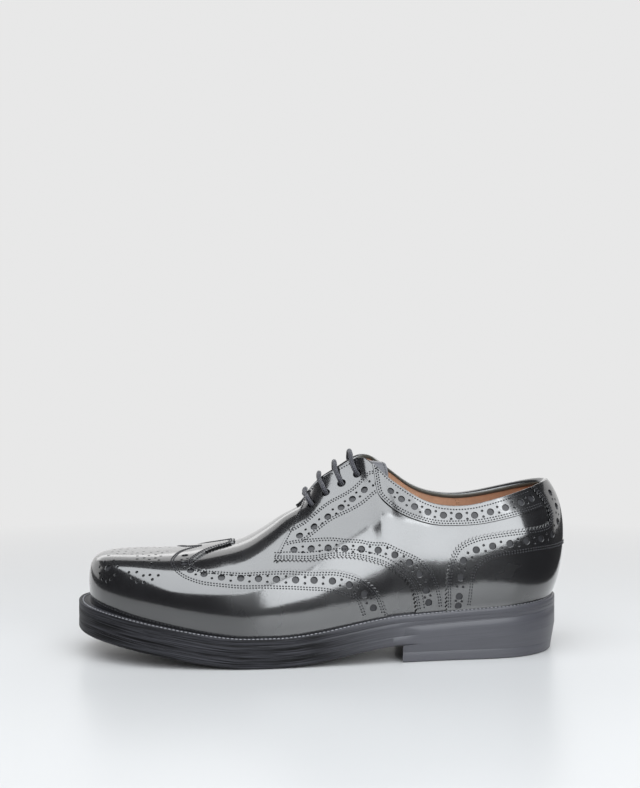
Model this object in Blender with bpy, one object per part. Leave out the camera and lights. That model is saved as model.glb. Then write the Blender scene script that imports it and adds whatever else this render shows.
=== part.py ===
"""Left shoe of a wing-tip derby with full broguing, standing empty on its sole.

Lengths are in metres. X runs from the toe (minus) to the heel (plus), minus Y is the
outer side of the foot, plus Z is up, and the floor is z = 0. The origin lies on the
floor below the middle of the whole shoe's length.

The upper is one function, surface(side, s, v, d). The station s runs from 0 at the
toe tip to 12 at the back of the heel, v from 0 at the welt to 1 at the ridge or the
topline, and d is the distance along the outward normal. The upper, the wing cap, the
quarters, the counter and the collar strips are panels of that same function.
"""

import math

import bmesh
import bpy
import numpy as np
from mathutils import Vector
from mathutils.geometry import delaunay_2d_cdt

# Sole
SOLE_LENGTH = 0.305
ORIGIN_SHARE = 0.5093
BALL_WIDTH = 0.1065
HEEL_WIDTH = 0.0730
OUTSOLE_THICKNESS = 0.0056
MIDSOLE_THICKNESS = 0.0078
WELT_THICKNESS = 0.0034
OUTSOLE_EDGE_RADIUS = 0.0018
MIDSOLE_STEP = 0.0002
WELT_STEP = 0.0003
WELT_OVERLAP = 0.0060
TOE_SPRING = 0.0163
SPRING_BEND = 0.0180
FLAT_FRONT = 0.1075
FLAT_LENGTH = 0.0160
HEEL_SEAT_HEIGHT = 0.0165
HEEL_SEAT_PITCH = 0.0580
HEEL_LENGTH = 0.1022
HEEL_TOP_PIECE = 0.0060
HEEL_TAPER = 0.0030
BREAST_HOLLOW = 0.0060
BREAST_SLOPE = 0.061
INSOLE_THICKNESS = 0.0030

# Upper, heights over the top of the welt
TOE_HEIGHT = 0.0380
INSTEP_HEIGHT = 0.0992
BACK_HEIGHT = 0.0730
TOPLINE_DIP = 0.0120
MEDIAL_LIFT = 0.0072
FACING_GAP = 0.0150
COLLAR_WIDTH = 0.0550
SWELL = 0.0100
UPPER_WALL = 0.0015
OVERLAY_WALL = 0.0011
STRIP_WALL = 0.0008
STRIP_END_GAP = 0.05
SEAT_GAP = 0.0003

# Tongue and lace
TONGUE_WALL = 0.0024
TONGUE_UNDERLAP = 0.0170
TONGUE_TIP = 0.0190
THROAT_ROOM = 0.0010
EYELET_COUNT = 4
EYELET_RADIUS = 0.0023
EYELET_INSET = 0.0100
EYELET_SPREAD = 0.0060
EYELET_PITCH = 0.0115
TOP_EYELET_DROP = 0.0080
LACE_RADIUS = 0.0015

# How finely the curved pieces are faceted
RING_STEPS = 3
SURFACE_STEPS = (3, 3, 3, 3, 3, 3, 4, 5, 3, 3, 3, 3)
SURFACE_ROWS = 8
STATIONS = 12
FOOT_BAND = 0.05

# Plan of the outsole: share of the length from the toe tip, outer and inner edge as
# shares of the width, and how far that width is the ball's rather than the heel's.
#        length  outer   inner  ball
PLAN = (
    (0.000, 0.057, 0.057, 1.0),
    (0.018, -0.165, 0.265, 1.0),
    (0.074, -0.330, 0.395, 1.0),
    (0.156, -0.437, 0.465, 1.0),
    (0.254, -0.493, 0.492, 1.0),
    (0.359, -0.507, 0.488, 1.0),
    (0.467, -0.479, 0.423, 1.0),
    (0.572, -0.500, 0.391, 0.6),
    (0.677, -0.505, 0.394, 0.3),
    (0.782, -0.525, 0.470, 0.0),
    (0.887, -0.475, 0.512, 0.0),
    (0.966, -0.275, 0.370, 0.0),
    (1.000, 0.068, 0.068, 0.0),
)

# Width of welt that shows outside the upper, at each station.
WELT_SHOW = (
    0.0072, 0.0070, 0.0064, 0.0060, 0.0057, 0.0056, 0.0053,
    0.0049, 0.0045, 0.0039, 0.0034, 0.0032, 0.0032,
)

# Top edge of the upper: station, share of the length, rise from toe height or back
# height to instep height, share of the topline's dip, of half the facing gap, of half
# the collar's width, and of the inner side's lift.
RIDGE = (
    (3.03, 0.159, 0.000),
    (3.55, 0.208, 0.053),
    (3.98, 0.249, 0.112),
    (4.42, 0.291, 0.180),
    (4.86, 0.333, 0.250),
    (5.20, 0.366, 0.335),
    (5.50, 0.395, 0.425),
    (5.75, 0.420, 0.505),
    (6.10, 0.457, 0.600),
    (6.35, 0.475, 0.700),
    (6.60, 0.495, 0.797),
    (6.90, 0.520, 0.866),
    (7.20, 0.546, 0.922),
    (7.42, 0.569, 0.963),
)
TOPLINE = (
    (7.58, 0.588, 0.916, 0.00),
    (7.72, 0.605, 0.748, 0.00),
    (7.95, 0.625, 0.485, 0.00),
    (8.40, 0.670, 0.050, 0.00),
    (8.85, 0.723, 0.000, 0.63),
    (9.25, 0.779, 0.000, 0.85),
    (9.75, 0.834, 0.000, 0.72),
    (10.35, 0.890, 0.000, 0.43),
    (11.00, 0.941, 0.000, 0.16),
    (11.50, 0.971, 0.000, 0.02),
    (12.00, 0.984, 0.000, 0.00),
)
#            station  gap  collar  lift
OPENING = (
    (5.90, 0.00, 0.000, 0.00),
    (6.15, 0.18, 0.000, 0.00),
    (6.40, 0.46, 0.000, 0.00),
    (6.80, 0.72, 0.000, 0.00),
    (7.20, 0.90, 0.010, 0.00),
    (7.42, 0.95, 0.060, 0.05),
    (7.58, 1.00, 0.170, 0.16),
    (7.72, 1.00, 0.300, 0.55),
    (7.95, 1.00, 0.400, 0.95),
    (8.40, 1.00, 0.560, 0.92),
    (8.85, 1.00, 0.660, 0.75),
    (9.25, 1.00, 0.725, 0.50),
    (9.75, 1.00, 0.730, 0.23),
    (10.35, 0.90, 0.690, 0.04),
    (11.00, 0.60, 0.520, 0.00),
    (11.50, 0.30, 0.280, 0.00),
    (12.00, 0.00, 0.000, 0.00),
)
THROAT = 6.0
POLE = 3.03
POLE_BLEND = 1.60

# Middle line of the upper's top: share of the length, offset as a share of the ball.
MIDDLE = (
    (0.00, 0.056),
    (0.16, 0.040),
    (0.30, 0.026),
    (0.45, 0.014),
    (0.60, 0.000),
    (0.75, -0.006),
    (0.86, 0.006),
    (0.94, 0.030),
    (1.00, 0.047),
)

# Sections of the upper, a row for each station: three points between welt and top
# edge and the one that leads into the top edge. Each has its share of the way from
# the welt to the top edge in plan, its share of the height and its swell outwards.
#    in1   up1   out1  in2   up2   out2  in3   up3   out3  in4   down4 out4
SECTIONS = (
    (0.00, 0.28, 0.12, 0.00, 0.72, 0.14, 0.10, 1.00, 0.00, 0.50, 0.00, 0.00),
    (0.00, 0.28, 0.12, 0.00, 0.70, 0.15, 0.12, 0.99, 0.00, 0.50, 0.00, 0.00),
    (0.00, 0.26, 0.13, 0.01, 0.66, 0.17, 0.17, 0.97, 0.00, 0.54, 0.00, 0.00),
    (0.00, 0.24, 0.15, 0.02, 0.62, 0.19, 0.25, 0.95, 0.00, 0.60, 0.00, 0.00),
    (0.00, 0.22, 0.17, 0.03, 0.58, 0.21, 0.31, 0.93, 0.00, 0.66, 0.00, 0.00),
    (0.00, 0.20, 0.17, 0.05, 0.54, 0.21, 0.34, 0.91, 0.00, 0.68, 0.00, 0.00),
    (0.00, 0.17, 0.15, 0.06, 0.48, 0.20, 0.36, 0.83, 0.02, 0.72, 0.00, 0.00),
    (0.00, 0.15, 0.11, 0.08, 0.42, 0.14, 0.34, 0.73, 0.08, 0.74, 0.10, 0.05),
    (0.00, 0.14, 0.10, 0.08, 0.40, 0.10, 0.30, 0.67, 0.08, 0.68, 0.14, 0.06),
    (0.00, 0.14, 0.18, 0.10, 0.42, 0.22, 0.40, 0.70, 0.18, 0.80, 0.14, 0.06),
    (0.00, 0.13, 0.30, 0.10, 0.42, 0.44, 0.40, 0.72, 0.42, 0.80, 0.12, 0.18),
    (0.00, 0.12, 0.40, 0.10, 0.42, 0.78, 0.50, 0.73, 0.78, 0.80, 0.10, 0.36),
    (0.00, 0.12, 0.42, 0.10, 0.42, 0.86, 0.50, 0.74, 0.86, 0.90, 0.08, 0.46),
)

# Edges of the overlays on the outer side, as station and height share.
WING_EDGE = (
    (4.72, 1.00),
    (4.64, 0.93),
    (4.23, 0.87),
    (3.97, 0.76),
    (3.87, 0.67),
    (3.99, 0.58),
    (4.39, 0.535),
    (5.33, 0.455),
    (6.40, 0.34),
    (7.02, 0.25),
    (7.38, 0.135),
    (7.58, -0.02),
)
QUARTER_FRONT = (
    (6.62, 1.00),
    (6.34, 0.99),
    (6.11, 0.93),
    (5.90, 0.79),
    (5.61, 0.62),
    (5.43, 0.51),
)
QUARTER_LOW = (
    (5.43, 0.51),
    (6.00, 0.445),
    (6.60, 0.39),
    (7.10, 0.34),
    (7.55, 0.265),
    (7.90, 0.20),
    (8.04, 0.11),
    (8.10, -0.02),
)
COUNTER_EDGE = (
    (8.66, -0.02),
    (8.68, 0.22),
    (8.80, 0.40),
    (8.99, 0.56),
    (9.23, 0.65),
    (9.56, 0.682),
    (10.20, 0.652),
    (10.84, 0.622),
    (11.04, 0.685),
    (11.04, 0.79),
    (10.86, 1.00),
)
STRIP_EDGE = (
    (7.72, 1.00),
    (7.66, 0.90),
    (7.62, 0.79),
    (7.78, 0.745),
    (8.30, 0.755),
    (9.00, 0.815),
    (9.60, 0.807),
    (10.40, 0.795),
    (10.92, 0.793),
)


def clear_scene():
    for thing in list(bpy.data.objects):
        bpy.data.objects.remove(thing, do_unlink=True)


def spline(knots, values):
    """Natural cubic spline through rows of values; returns a function of the knot."""
    knots = np.asarray(knots, float)
    values = np.asarray(values, float)
    count = len(knots)
    step = np.diff(knots)
    matrix = np.zeros((count, count))
    right = np.zeros((count, values.shape[1]))
    matrix[0, 0] = 1.0
    matrix[-1, -1] = 1.0
    slope = np.diff(values, axis=0) / step[:, None]
    for i in range(1, count - 1):
        matrix[i, i - 1] = step[i - 1]
        matrix[i, i] = 2.0 * (step[i - 1] + step[i])
        matrix[i, i + 1] = step[i]
        right[i] = 6.0 * (slope[i] - slope[i - 1])
    bend = np.linalg.solve(matrix, right)

    def evaluate(t):
        t = np.asarray(t, float)
        i = np.clip(np.searchsorted(knots, t, side="right") - 1, 0, count - 2)
        h = step[i][..., None]
        a = (knots[i + 1] - t)[..., None] / h
        b = (t - knots[i])[..., None] / h
        curve = (a ** 3 - a) * bend[i] + (b ** 3 - b) * bend[i + 1]
        return a * values[i] + b * values[i + 1] + curve * h * h / 6.0

    return evaluate


def ring_spline(outer, inner):
    """Closed spline round the shoe: outer rows toe to heel, inner rows back again."""
    rows = list(outer) + list(inner[-2:0:-1])
    count = len(rows)
    wrapped = [rows[i % count] for i in range(-6, count + 7)]
    return spline(np.arange(-6, count + 7), wrapped)


def ring_station(side, s):
    """Station round the ring: outer side 0 to 12, inner side 24 back to 12."""
    s = np.asarray(s, float)
    return s if side < 0 else 2 * STATIONS - s


def plan_rows(side):
    rows = []
    for length, outer, inner, ball in PLAN:
        width = ball * BALL_WIDTH + (1.0 - ball) * HEEL_WIDTH
        rows.append(((length - ORIGIN_SHARE) * SOLE_LENGTH, (outer if side < 0 else inner) * width))
    return rows


OUTLINE = ring_spline(plan_rows(-1), plan_rows(1))
SHOW = ring_spline([(w,) for w in WELT_SHOW], [(w,) for w in WELT_SHOW])
SECTION = ring_spline(SECTIONS, SECTIONS)
CENTRE = spline([row[0] for row in MIDDLE], [(row[1],) for row in MIDDLE])


def outline(t, inset=0.0):
    """Plan point of the outsole's edge at ring station t, moved in by inset."""
    t = np.asarray(t, float)
    point = OUTLINE(t)
    along = OUTLINE(t + 0.01) - OUTLINE(t - 0.01)
    along /= np.linalg.norm(along, axis=-1, keepdims=True)
    outward = np.stack([along[..., 1], -along[..., 0]], axis=-1)
    return point - outward * np.asarray(inset)[..., None], outward


def sole_bottom(x):
    """Height of the outsole's underside: toe spring, flat ball, arch, heel seat."""
    x = np.asarray(x, float)
    flat_start = FLAT_FRONT - ORIGIN_SHARE * SOLE_LENGTH
    flat_end = flat_start + FLAT_LENGTH
    breast = (1.0 - ORIGIN_SHARE) * SOLE_LENGTH - HEEL_LENGTH
    ahead = np.maximum(flat_start - x, 0.0)
    full = math.hypot(FLAT_FRONT, SPRING_BEND) - SPRING_BEND
    spring = TOE_SPRING * (np.hypot(ahead, SPRING_BEND) - SPRING_BEND) / full
    run = breast - flat_end
    seat = HEEL_SEAT_HEIGHT - HEEL_SEAT_PITCH * HEEL_LENGTH
    t = np.clip((x - flat_end) / run, 0.0, 1.0)
    arch = seat * t * t * (3.0 - 2.0 * t) + HEEL_SEAT_PITCH * run * (t ** 3 - t ** 2)
    behind = np.maximum(x - breast, 0.0)
    return spring + arch + HEEL_SEAT_PITCH * behind


def welt_top(x):
    stack = OUTSOLE_THICKNESS + MIDSOLE_THICKNESS + WELT_THICKNESS + 2 * SEAT_GAP
    return sole_bottom(x) + stack


def top_tables():
    knots = []
    values = []
    for station, length, rise in RIDGE:
        height = TOE_HEIGHT + rise * (INSTEP_HEIGHT - TOE_HEIGHT)
        knots.append(station)
        values.append((length, height))
    for station, length, rise, dip in TOPLINE:
        height = BACK_HEIGHT + rise * (INSTEP_HEIGHT - BACK_HEIGHT) - dip * TOPLINE_DIP
        knots.append(station)
        values.append((length, height))
    for i in range(len(TOPLINE) - 1, 6, -1):
        knots.append(2 * STATIONS - TOPLINE[i - 1][0])
        values.append(values[len(RIDGE) + i - 1])
    return spline(knots, values)


def opening_tables():
    knots = [row[0] for row in OPENING]
    values = []
    for station, gap, collar, lift in OPENING:
        half = 0.5 * (gap * FACING_GAP + collar * COLLAR_WIDTH)
        values.append((half, lift * MEDIAL_LIFT))
    for i in range(len(OPENING) - 2, 10, -1):
        knots.append(2 * STATIONS - OPENING[i][0])
        values.append((-values[i][0], values[i][1]))
    return spline(knots, values)


TOP = top_tables()
GAP = opening_tables()


def top_station(s):
    """Station on the top edge: held at the toe's pole, then even with s."""
    s = np.asarray(s, float)
    t = np.clip((s - (POLE - POLE_BLEND / 2)) / POLE_BLEND, 0.0, 1.0)
    eased = POLE + POLE_BLEND * (t ** 3 - 0.5 * t ** 4)
    return np.where(s > POLE + POLE_BLEND / 2, s, eased)


def top_point(side, g):
    """Point of the ridge, facing edge or topline at station g of one side."""
    g = np.asarray(g, float)
    row = TOP(g)
    x = (row[..., 0] - ORIGIN_SHARE) * SOLE_LENGTH
    half = np.where(g > THROAT, GAP(np.maximum(g, OPENING[0][0]))[..., 0], 0.0)
    lift = np.where(g > THROAT, GAP(np.maximum(g, OPENING[0][0]))[..., 1], 0.0)
    y = CENTRE(row[..., 0])[..., 0] * BALL_WIDTH + side * half
    z = welt_top(x) + row[..., 1] + (lift if side > 0 else 0.0)
    return np.stack([x, y, z], axis=-1)


def blend_weights(v):
    """Weights of the six section points: a cubic B-spline with its ends held."""
    v = np.clip(np.asarray(v, float), 0.0, 1.0) * 3.0
    knots = np.array([0, 0, 0, 0, 1, 2, 3, 3, 3, 3], float)
    i = np.clip(np.floor(v).astype(int), 0, 2) + 3
    weights = np.zeros(v.shape + (6,))
    for point in (3, 4, 5):
        inside = (i == point)
        near = [np.ones_like(v)]
        left = [None]
        right = [None]
        for degree in range(1, 4):
            left.append(v - knots[point + 1 - degree])
            right.append(knots[point + degree] - v)
            saved = np.zeros_like(v)
            fresh = []
            for r in range(degree):
                part = near[r] / (right[r + 1] + left[degree - r])
                fresh.append(saved + right[r + 1] * part)
                saved = left[degree - r] * part
            fresh.append(saved)
            near = fresh
        for r in range(4):
            weights[..., point - 3 + r] += np.where(inside, near[r], 0.0)
    return weights


def section_points(side, s):
    """The six points that shape the upper's section at station s."""
    s = np.asarray(s, float)
    t = ring_station(side, s)
    foot, outward = outline(t, SHOW(t)[..., 0])
    foot_z = welt_top(foot[..., 0]) + SEAT_GAP
    top = top_point(side, top_station(s))
    shape = SECTION(t)
    g = top_station(s)
    nose = top_point(0, g + 0.02)
    tail = top_point(0, g - 0.02)
    slope = (nose[..., 2] - tail[..., 2]) / (nose[..., 0] - tail[..., 0])
    along = np.clip((6.6 - s) / 0.8, 0.0, 1.0)
    along = along * along * (3.0 - 2.0 * along)
    height = top[..., 2] - foot_z
    points = [np.concatenate([foot, foot_z[..., None]], axis=-1)]
    for i in range(4):
        share = shape[..., 3 * i, None]
        lift = shape[..., 3 * i + 1]
        swell = shape[..., 3 * i + 2, None] * SWELL
        plan = foot + (top[..., :2] - foot) * share + outward * swell
        if i < 3:
            z = foot_z + height * lift
        else:
            z = top[..., 2] - height * lift + along * slope * (plan[..., 0] - top[..., 0])
        points.append(np.concatenate([plan, z[..., None]], axis=-1))
    points.append(top)
    return np.stack(points, axis=-2)


def skin(side, s, v):
    s, v = np.broadcast_arrays(np.asarray(s, float), np.asarray(v, float))
    return np.einsum("...i,...ij->...j", blend_weights(v), section_points(side, s))


def surface(side, s, v, d=0.0):
    """Point of the upper at station s and height v, d outside its outer face."""
    s, v = np.broadcast_arrays(np.asarray(s, float), np.asarray(v, float))
    point = skin(side, s, v)
    held = np.minimum(v, 0.995)
    along = skin(side, s + 0.02, held) - skin(side, s - 0.02, held)
    up = skin(side, s, np.minimum(held + 0.005, 1.0)) - skin(side, s, held - 0.005)
    normal = np.cross(along, up) * (-side)
    normal /= np.linalg.norm(normal, axis=-1, keepdims=True)
    normal[..., 2] *= np.clip(v / FOOT_BAND, 0.0, 1.0)
    return point + normal * np.asarray(d)[..., None]


def material(name, colour, roughness, metallic=0.0):
    made = bpy.data.materials.get(name) or bpy.data.materials.new(name)
    made.use_nodes = True
    shader = made.node_tree.nodes["Principled BSDF"]
    shader.inputs["Base Color"].default_value = (*colour, 1.0)
    shader.inputs["Roughness"].default_value = roughness
    shader.inputs["Metallic"].default_value = metallic
    return made


def add_object(name, points, faces, paint):
    mesh = bpy.data.meshes.new(name)
    mesh.from_pydata([tuple(p) for p in np.asarray(points).tolist()], [], faces)
    shape = bmesh.new()
    shape.from_mesh(mesh)
    bmesh.ops.remove_doubles(shape, verts=shape.verts, dist=1e-6)
    bmesh.ops.dissolve_degenerate(shape, dist=1e-7, edges=shape.edges)
    bmesh.ops.triangulate(shape, faces=shape.faces)
    bmesh.ops.recalc_face_normals(shape, faces=shape.faces)
    shape.to_mesh(mesh)
    shape.free()
    mesh.shade_smooth()
    mesh.set_sharp_from_angle(angle=math.radians(40))
    mesh.materials.append(paint)
    thing = bpy.data.objects.new(name, mesh)
    bpy.context.scene.collection.objects.link(thing)
    return thing


def bridge(first, second, count, closed=True):
    last = count if closed else count - 1
    return [
        (first + i, first + (i + 1) % count, second + (i + 1) % count, second + i)
        for i in range(last)
    ]


def ring_solid(name, rings, paint, tube=False):
    """Solid through rings of equal count, capped across the shoe or closed as a tube."""
    count = len(rings[0])
    faces = []
    for i in range(len(rings) - 1):
        faces += bridge(i * count, (i + 1) * count, count)
    last = (len(rings) - 1) * count
    if tube:
        faces += bridge(last, 0, count)
    else:
        for start in (0, last):
            for i in range(count // 2):
                other = (count - i) % count
                faces.append((start + i, start + i + 1, start + other - 1, start + other)
                             if i else (start, start + 1, start + count - 1))
    return add_object(name, np.concatenate(rings), faces, paint)


def sole_ring(inset, lift):
    """Ring of points at the sole's edge, moved in, at a height over its underside."""
    t = np.arange(0, 2 * STATIONS, 1.0 / RING_STEPS)
    plan, outward = outline(t, np.full(len(t), inset))
    z = sole_bottom(plan[:, 0]) + lift
    return np.column_stack([plan, z])


def sole_layers(leather, edge):
    r = OUTSOLE_EDGE_RADIUS
    outsole_top = OUTSOLE_THICKNESS
    midsole_low = outsole_top + SEAT_GAP
    midsole_top = midsole_low + MIDSOLE_THICKNESS
    welt_low = midsole_top + SEAT_GAP
    ring_solid("outsole", [
        sole_ring(r, 0.0),
        sole_ring(0.3 * r, 0.3 * r),
        sole_ring(0.0, r),
        sole_ring(0.0, outsole_top),
    ], leather)
    ring_solid("midsole", [
        sole_ring(MIDSOLE_STEP, midsole_low),
        sole_ring(MIDSOLE_STEP, midsole_top),
    ], edge)
    inner = max(WELT_SHOW) + WELT_OVERLAP
    high = welt_low + WELT_THICKNESS
    ring_solid("welt", [
        sole_ring(WELT_STEP, welt_low),
        sole_ring(WELT_STEP, high - 0.3 * WELT_THICKNESS),
        sole_ring(WELT_STEP + 0.3 * WELT_THICKNESS, high),
        sole_ring(inner, high),
        sole_ring(inner, welt_low),
    ], edge, tube=True)


def heel_plan(inset_back, inset_side):
    """Plan of the heel: the sole's edge behind the breast, closed by a hollow arc."""
    breast = (1.0 - ORIGIN_SHARE) * SOLE_LENGTH - HEEL_LENGTH
    t = np.linspace(0, 2 * STATIONS, 961)
    edge = outline(t)[0]
    behind = t[edge[:, 0] - BREAST_SLOPE * edge[:, 1] > breast]
    t = np.linspace(behind[0], behind[-1], 29)
    backness = np.clip(1.0 - np.abs(t - STATIONS) / 3.0, 0.0, 1.0)
    inset = inset_side + (inset_back - inset_side) * backness
    edge = outline(t, inset)[0]
    across = np.linspace(0.0, 1.0, 11)[1:-1]
    front = edge[-1] + (edge[0] - edge[-1]) * across[:, None]
    front[:, 0] += BREAST_HOLLOW * 4.0 * across * (1.0 - across)
    return np.concatenate([edge, front])


def heel_piece(name, low, high, low_plan, high_plan, paint):
    count = len(low_plan)
    points = np.concatenate([
        np.column_stack([low_plan, low(low_plan[:, 0])]),
        np.column_stack([high_plan, high(high_plan[:, 0])]),
    ])
    faces = bridge(0, count, count)
    faces.append(tuple(range(count)))
    faces.append(tuple(range(count, 2 * count)))
    return add_object(name, points, faces, paint)


def heel(edge, rubber):
    middle = HEEL_TAPER * (1.0 - HEEL_TOP_PIECE / HEEL_SEAT_HEIGHT)
    side = 0.3

    def level(height):
        return lambda x: np.full(len(x), height)

    heel_piece("heel_top_piece", level(0.0), level(HEEL_TOP_PIECE),
               heel_plan(HEEL_TAPER, side * HEEL_TAPER),
               heel_plan(middle, side * middle), rubber)
    heel_piece("heel_stack", level(HEEL_TOP_PIECE + SEAT_GAP),
               lambda x: sole_bottom(x) - SEAT_GAP,
               heel_plan(middle, side * middle),
               heel_plan(0.0, 0.0), edge)


def insole(board):
    """Board inside the upper: its lower step fills the welt's ring."""
    t = np.arange(0, 2 * STATIONS, 1.0 / RING_STEPS)
    side_s = np.where(t <= STATIONS, t, 2 * STATIONS - t)
    depth = np.full(len(t), -OVERLAY_WALL - SEAT_GAP - UPPER_WALL)
    outer = surface(-1, side_s, 0.0, depth)
    inner = surface(1, side_s, 0.0, depth)
    wall = np.where((t <= STATIONS)[:, None], outer, inner)[:, :2]
    outward = outline(t)[1]
    wide = wall - outward * SEAT_GAP * 1.5
    stack = OUTSOLE_THICKNESS + MIDSOLE_THICKNESS + 2 * SEAT_GAP
    narrow_inset = max(WELT_SHOW) + WELT_OVERLAP + SEAT_GAP
    narrow = outline(t, np.full(len(t), narrow_inset))[0]

    def at(plan, lift):
        return np.column_stack([plan, sole_bottom(plan[:, 0]) + lift])

    step = stack + WELT_THICKNESS + SEAT_GAP
    ring_solid("insole", [
        at(narrow, stack),
        at(narrow, step),
        at(wide, step),
        at(wide, step + INSOLE_THICKNESS),
    ], board)


def surface_grid():
    """Ring stations and height shares of the lines that every shell is built on."""
    parts = [i + np.arange(steps) / steps for i, steps in enumerate(SURFACE_STEPS)]
    outer = np.concatenate(parts + [[float(STATIONS)]])
    ring = np.concatenate([outer, 2 * STATIONS - outer[-2::-1]])
    return ring, np.linspace(0.0, 1.0, SURFACE_ROWS + 1)


def ring_surface(t, v, d):
    """Points at ring stations t; on the ridge both sides share one point."""
    s = np.where(t <= STATIONS, t, 2 * STATIONS - t)
    outer = surface(-1, s, v, d)
    inner = surface(1, s, v, d)
    point = np.where((t <= STATIONS)[:, None], outer, inner)
    seam = (s < 1e-6) | (s > STATIONS - 1e-6) | ((v > 1.0 - 1e-6) & (s <= THROAT + 1e-6))
    return np.where(seam[:, None], 0.5 * (outer + inner), point)


def settled(flat):
    """Ring stations and heights with the ends and both sides' ridge made exact."""
    t = np.round(flat[:, 0] + 1.3e-5, 4)
    v = np.round(flat[:, 1] + 1.3e-5, 4)
    return np.column_stack([np.clip(t, 0.0, 2 * STATIONS), np.clip(v, 0.0, 1.0)])


def shared_points(t, v):
    """Number of the point that each ring station and height stands for."""
    s = np.where(t <= STATIONS, t, 2 * STATIONS - t)
    top = v > 1.0 - 1e-6
    pole = top & (s <= POLE - POLE_BLEND / 2)
    ridge = top & (s <= THROAT + 1e-6)
    name = np.where(pole, 0.0, np.where(ridge, s, np.where(t > 2 * STATIONS - 1e-6, 0, t)))
    rows = np.round(np.column_stack([name, v]), 3)
    first, number = np.unique(rows, axis=0, return_index=True, return_inverse=True)[1:]
    return first, np.asarray(number).reshape(-1)


def inside_outline(t, v, outline_rows):
    """Which points lie inside a closed outline, by crossings of a level line."""
    inside = np.zeros(len(t), bool)
    for (t0, v0), (t1, v1) in zip(outline_rows, np.roll(outline_rows, -1, axis=0)):
        crosses = (v0 > v) != (v1 > v)
        with np.errstate(divide="ignore", invalid="ignore"):
            at = t0 + (v - v0) * (t1 - t0) / (v1 - v0)
        inside ^= crosses & (t < at)
    return inside


def panel(name, regions, low, high, paint, holes=()):
    """Closed panel of the upper between two distances, inside outlines in its plan."""
    ring, rows = surface_grid()
    stretch = 6.0
    grid_t, grid_v = np.meshgrid(ring, rows)
    points = [Vector((t, v * stretch)) for t, v in zip(grid_t.ravel(), grid_v.ravel())]
    edges = []
    wide = len(ring)
    for j in range(len(rows)):
        for i in range(wide):
            at = j * wide + i
            if i + 1 < wide:
                edges.append((at, at + 1))
            if j + 1 < len(rows):
                edges.append((at, at + wide))
            if i + 1 < wide and j + 1 < len(rows):
                edges.append((at, at + wide + 1) if i < wide // 2 else (at + 1, at + wide))
    for rim in [*regions, *holes]:
        start = len(points)
        points += [Vector((t, v * stretch)) for t, v in rim]
        edges += [(start + i, start + (i + 1) % len(rim)) for i in range(len(rim))]
    flat, _, faces = delaunay_2d_cdt(points, edges, [], 0, 1e-6)[:3]
    flat = settled(np.array([(p.x, p.y / stretch) for p in flat]))
    faces = np.array(faces)
    middle = flat[faces].mean(axis=1)
    kept = np.zeros(len(faces), bool)
    for rim in regions:
        kept |= inside_outline(middle[:, 0], middle[:, 1], np.asarray(rim))
    for rim in holes:
        kept &= ~inside_outline(middle[:, 0], middle[:, 1], np.asarray(rim))
    faces = faces[kept]
    first, number = shared_points(flat[:, 0], flat[:, 1])
    faces = number[faces]
    faces = faces[(faces[:, 0] != faces[:, 1]) & (faces[:, 1] != faces[:, 2])
                  & (faces[:, 2] != faces[:, 0])]
    used, faces = np.unique(faces, return_inverse=True)
    faces = faces.reshape(-1, 3)
    t = flat[first[used], 0]
    v = flat[first[used], 1]
    count = len(used)
    points = np.concatenate([
        ring_surface(t, v, np.full(count, low)),
        ring_surface(t, v, np.full(count, high)),
    ])
    sides = np.concatenate([faces[:, [0, 1]], faces[:, [1, 2]], faces[:, [2, 0]]])
    order = np.sort(sides, axis=1)
    uses = np.unique(order, axis=0, return_inverse=True, return_counts=True)[1:]
    rim = sides[uses[1][np.asarray(uses[0]).reshape(-1)] == 1]
    walls = [(a, b, b + count, a + count) for a, b in rim.tolist()]
    solid = faces[:, ::-1].tolist() + (faces + count).tolist() + walls
    return add_object(name, points, solid, paint)


def edge_curve(rows, count=2):
    """Edge of an overlay: a spline through its rows, as station and height share."""
    knots = np.arange(len(rows), dtype=float)
    at = np.linspace(0.0, len(rows) - 1.0, count * (len(rows) - 1) + 1)
    path = spline(knots, rows)(at)
    path[:, 1] = np.clip(path[:, 1], 0.0, 1.0)
    return path


def other_side(path):
    """The same edge on the inner side, in reverse order."""
    return np.column_stack([2 * STATIONS - path[::-1, 0], path[::-1, 1]])


def eyelet_holes():
    turns = np.linspace(0.0, 2.0 * math.pi, 9)[:-1]
    circle = EYELET_RADIUS * np.column_stack([np.cos(turns), np.sin(turns)])
    holes = []
    for side in (-1, 1):
        for s, v in zip(*eyelet_spots(side)):
            across = (skin(side, s + 0.01, v) - skin(side, s - 0.01, v)) / 0.02
            up = (skin(side, s, v + 0.005) - skin(side, s, v - 0.005)) / 0.01
            first = across / np.linalg.norm(across)
            second = up - first * np.dot(up, first)
            second /= np.linalg.norm(second)
            frame = np.array([[np.dot(across, first), np.dot(up, first)],
                              [np.dot(across, second), np.dot(up, second)]])
            rim = np.linalg.solve(frame, circle.T).T + (s, v)
            if side > 0:
                rim[:, 0] = 2 * STATIONS - rim[:, 0]
            holes.append(rim)
    return holes


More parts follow.
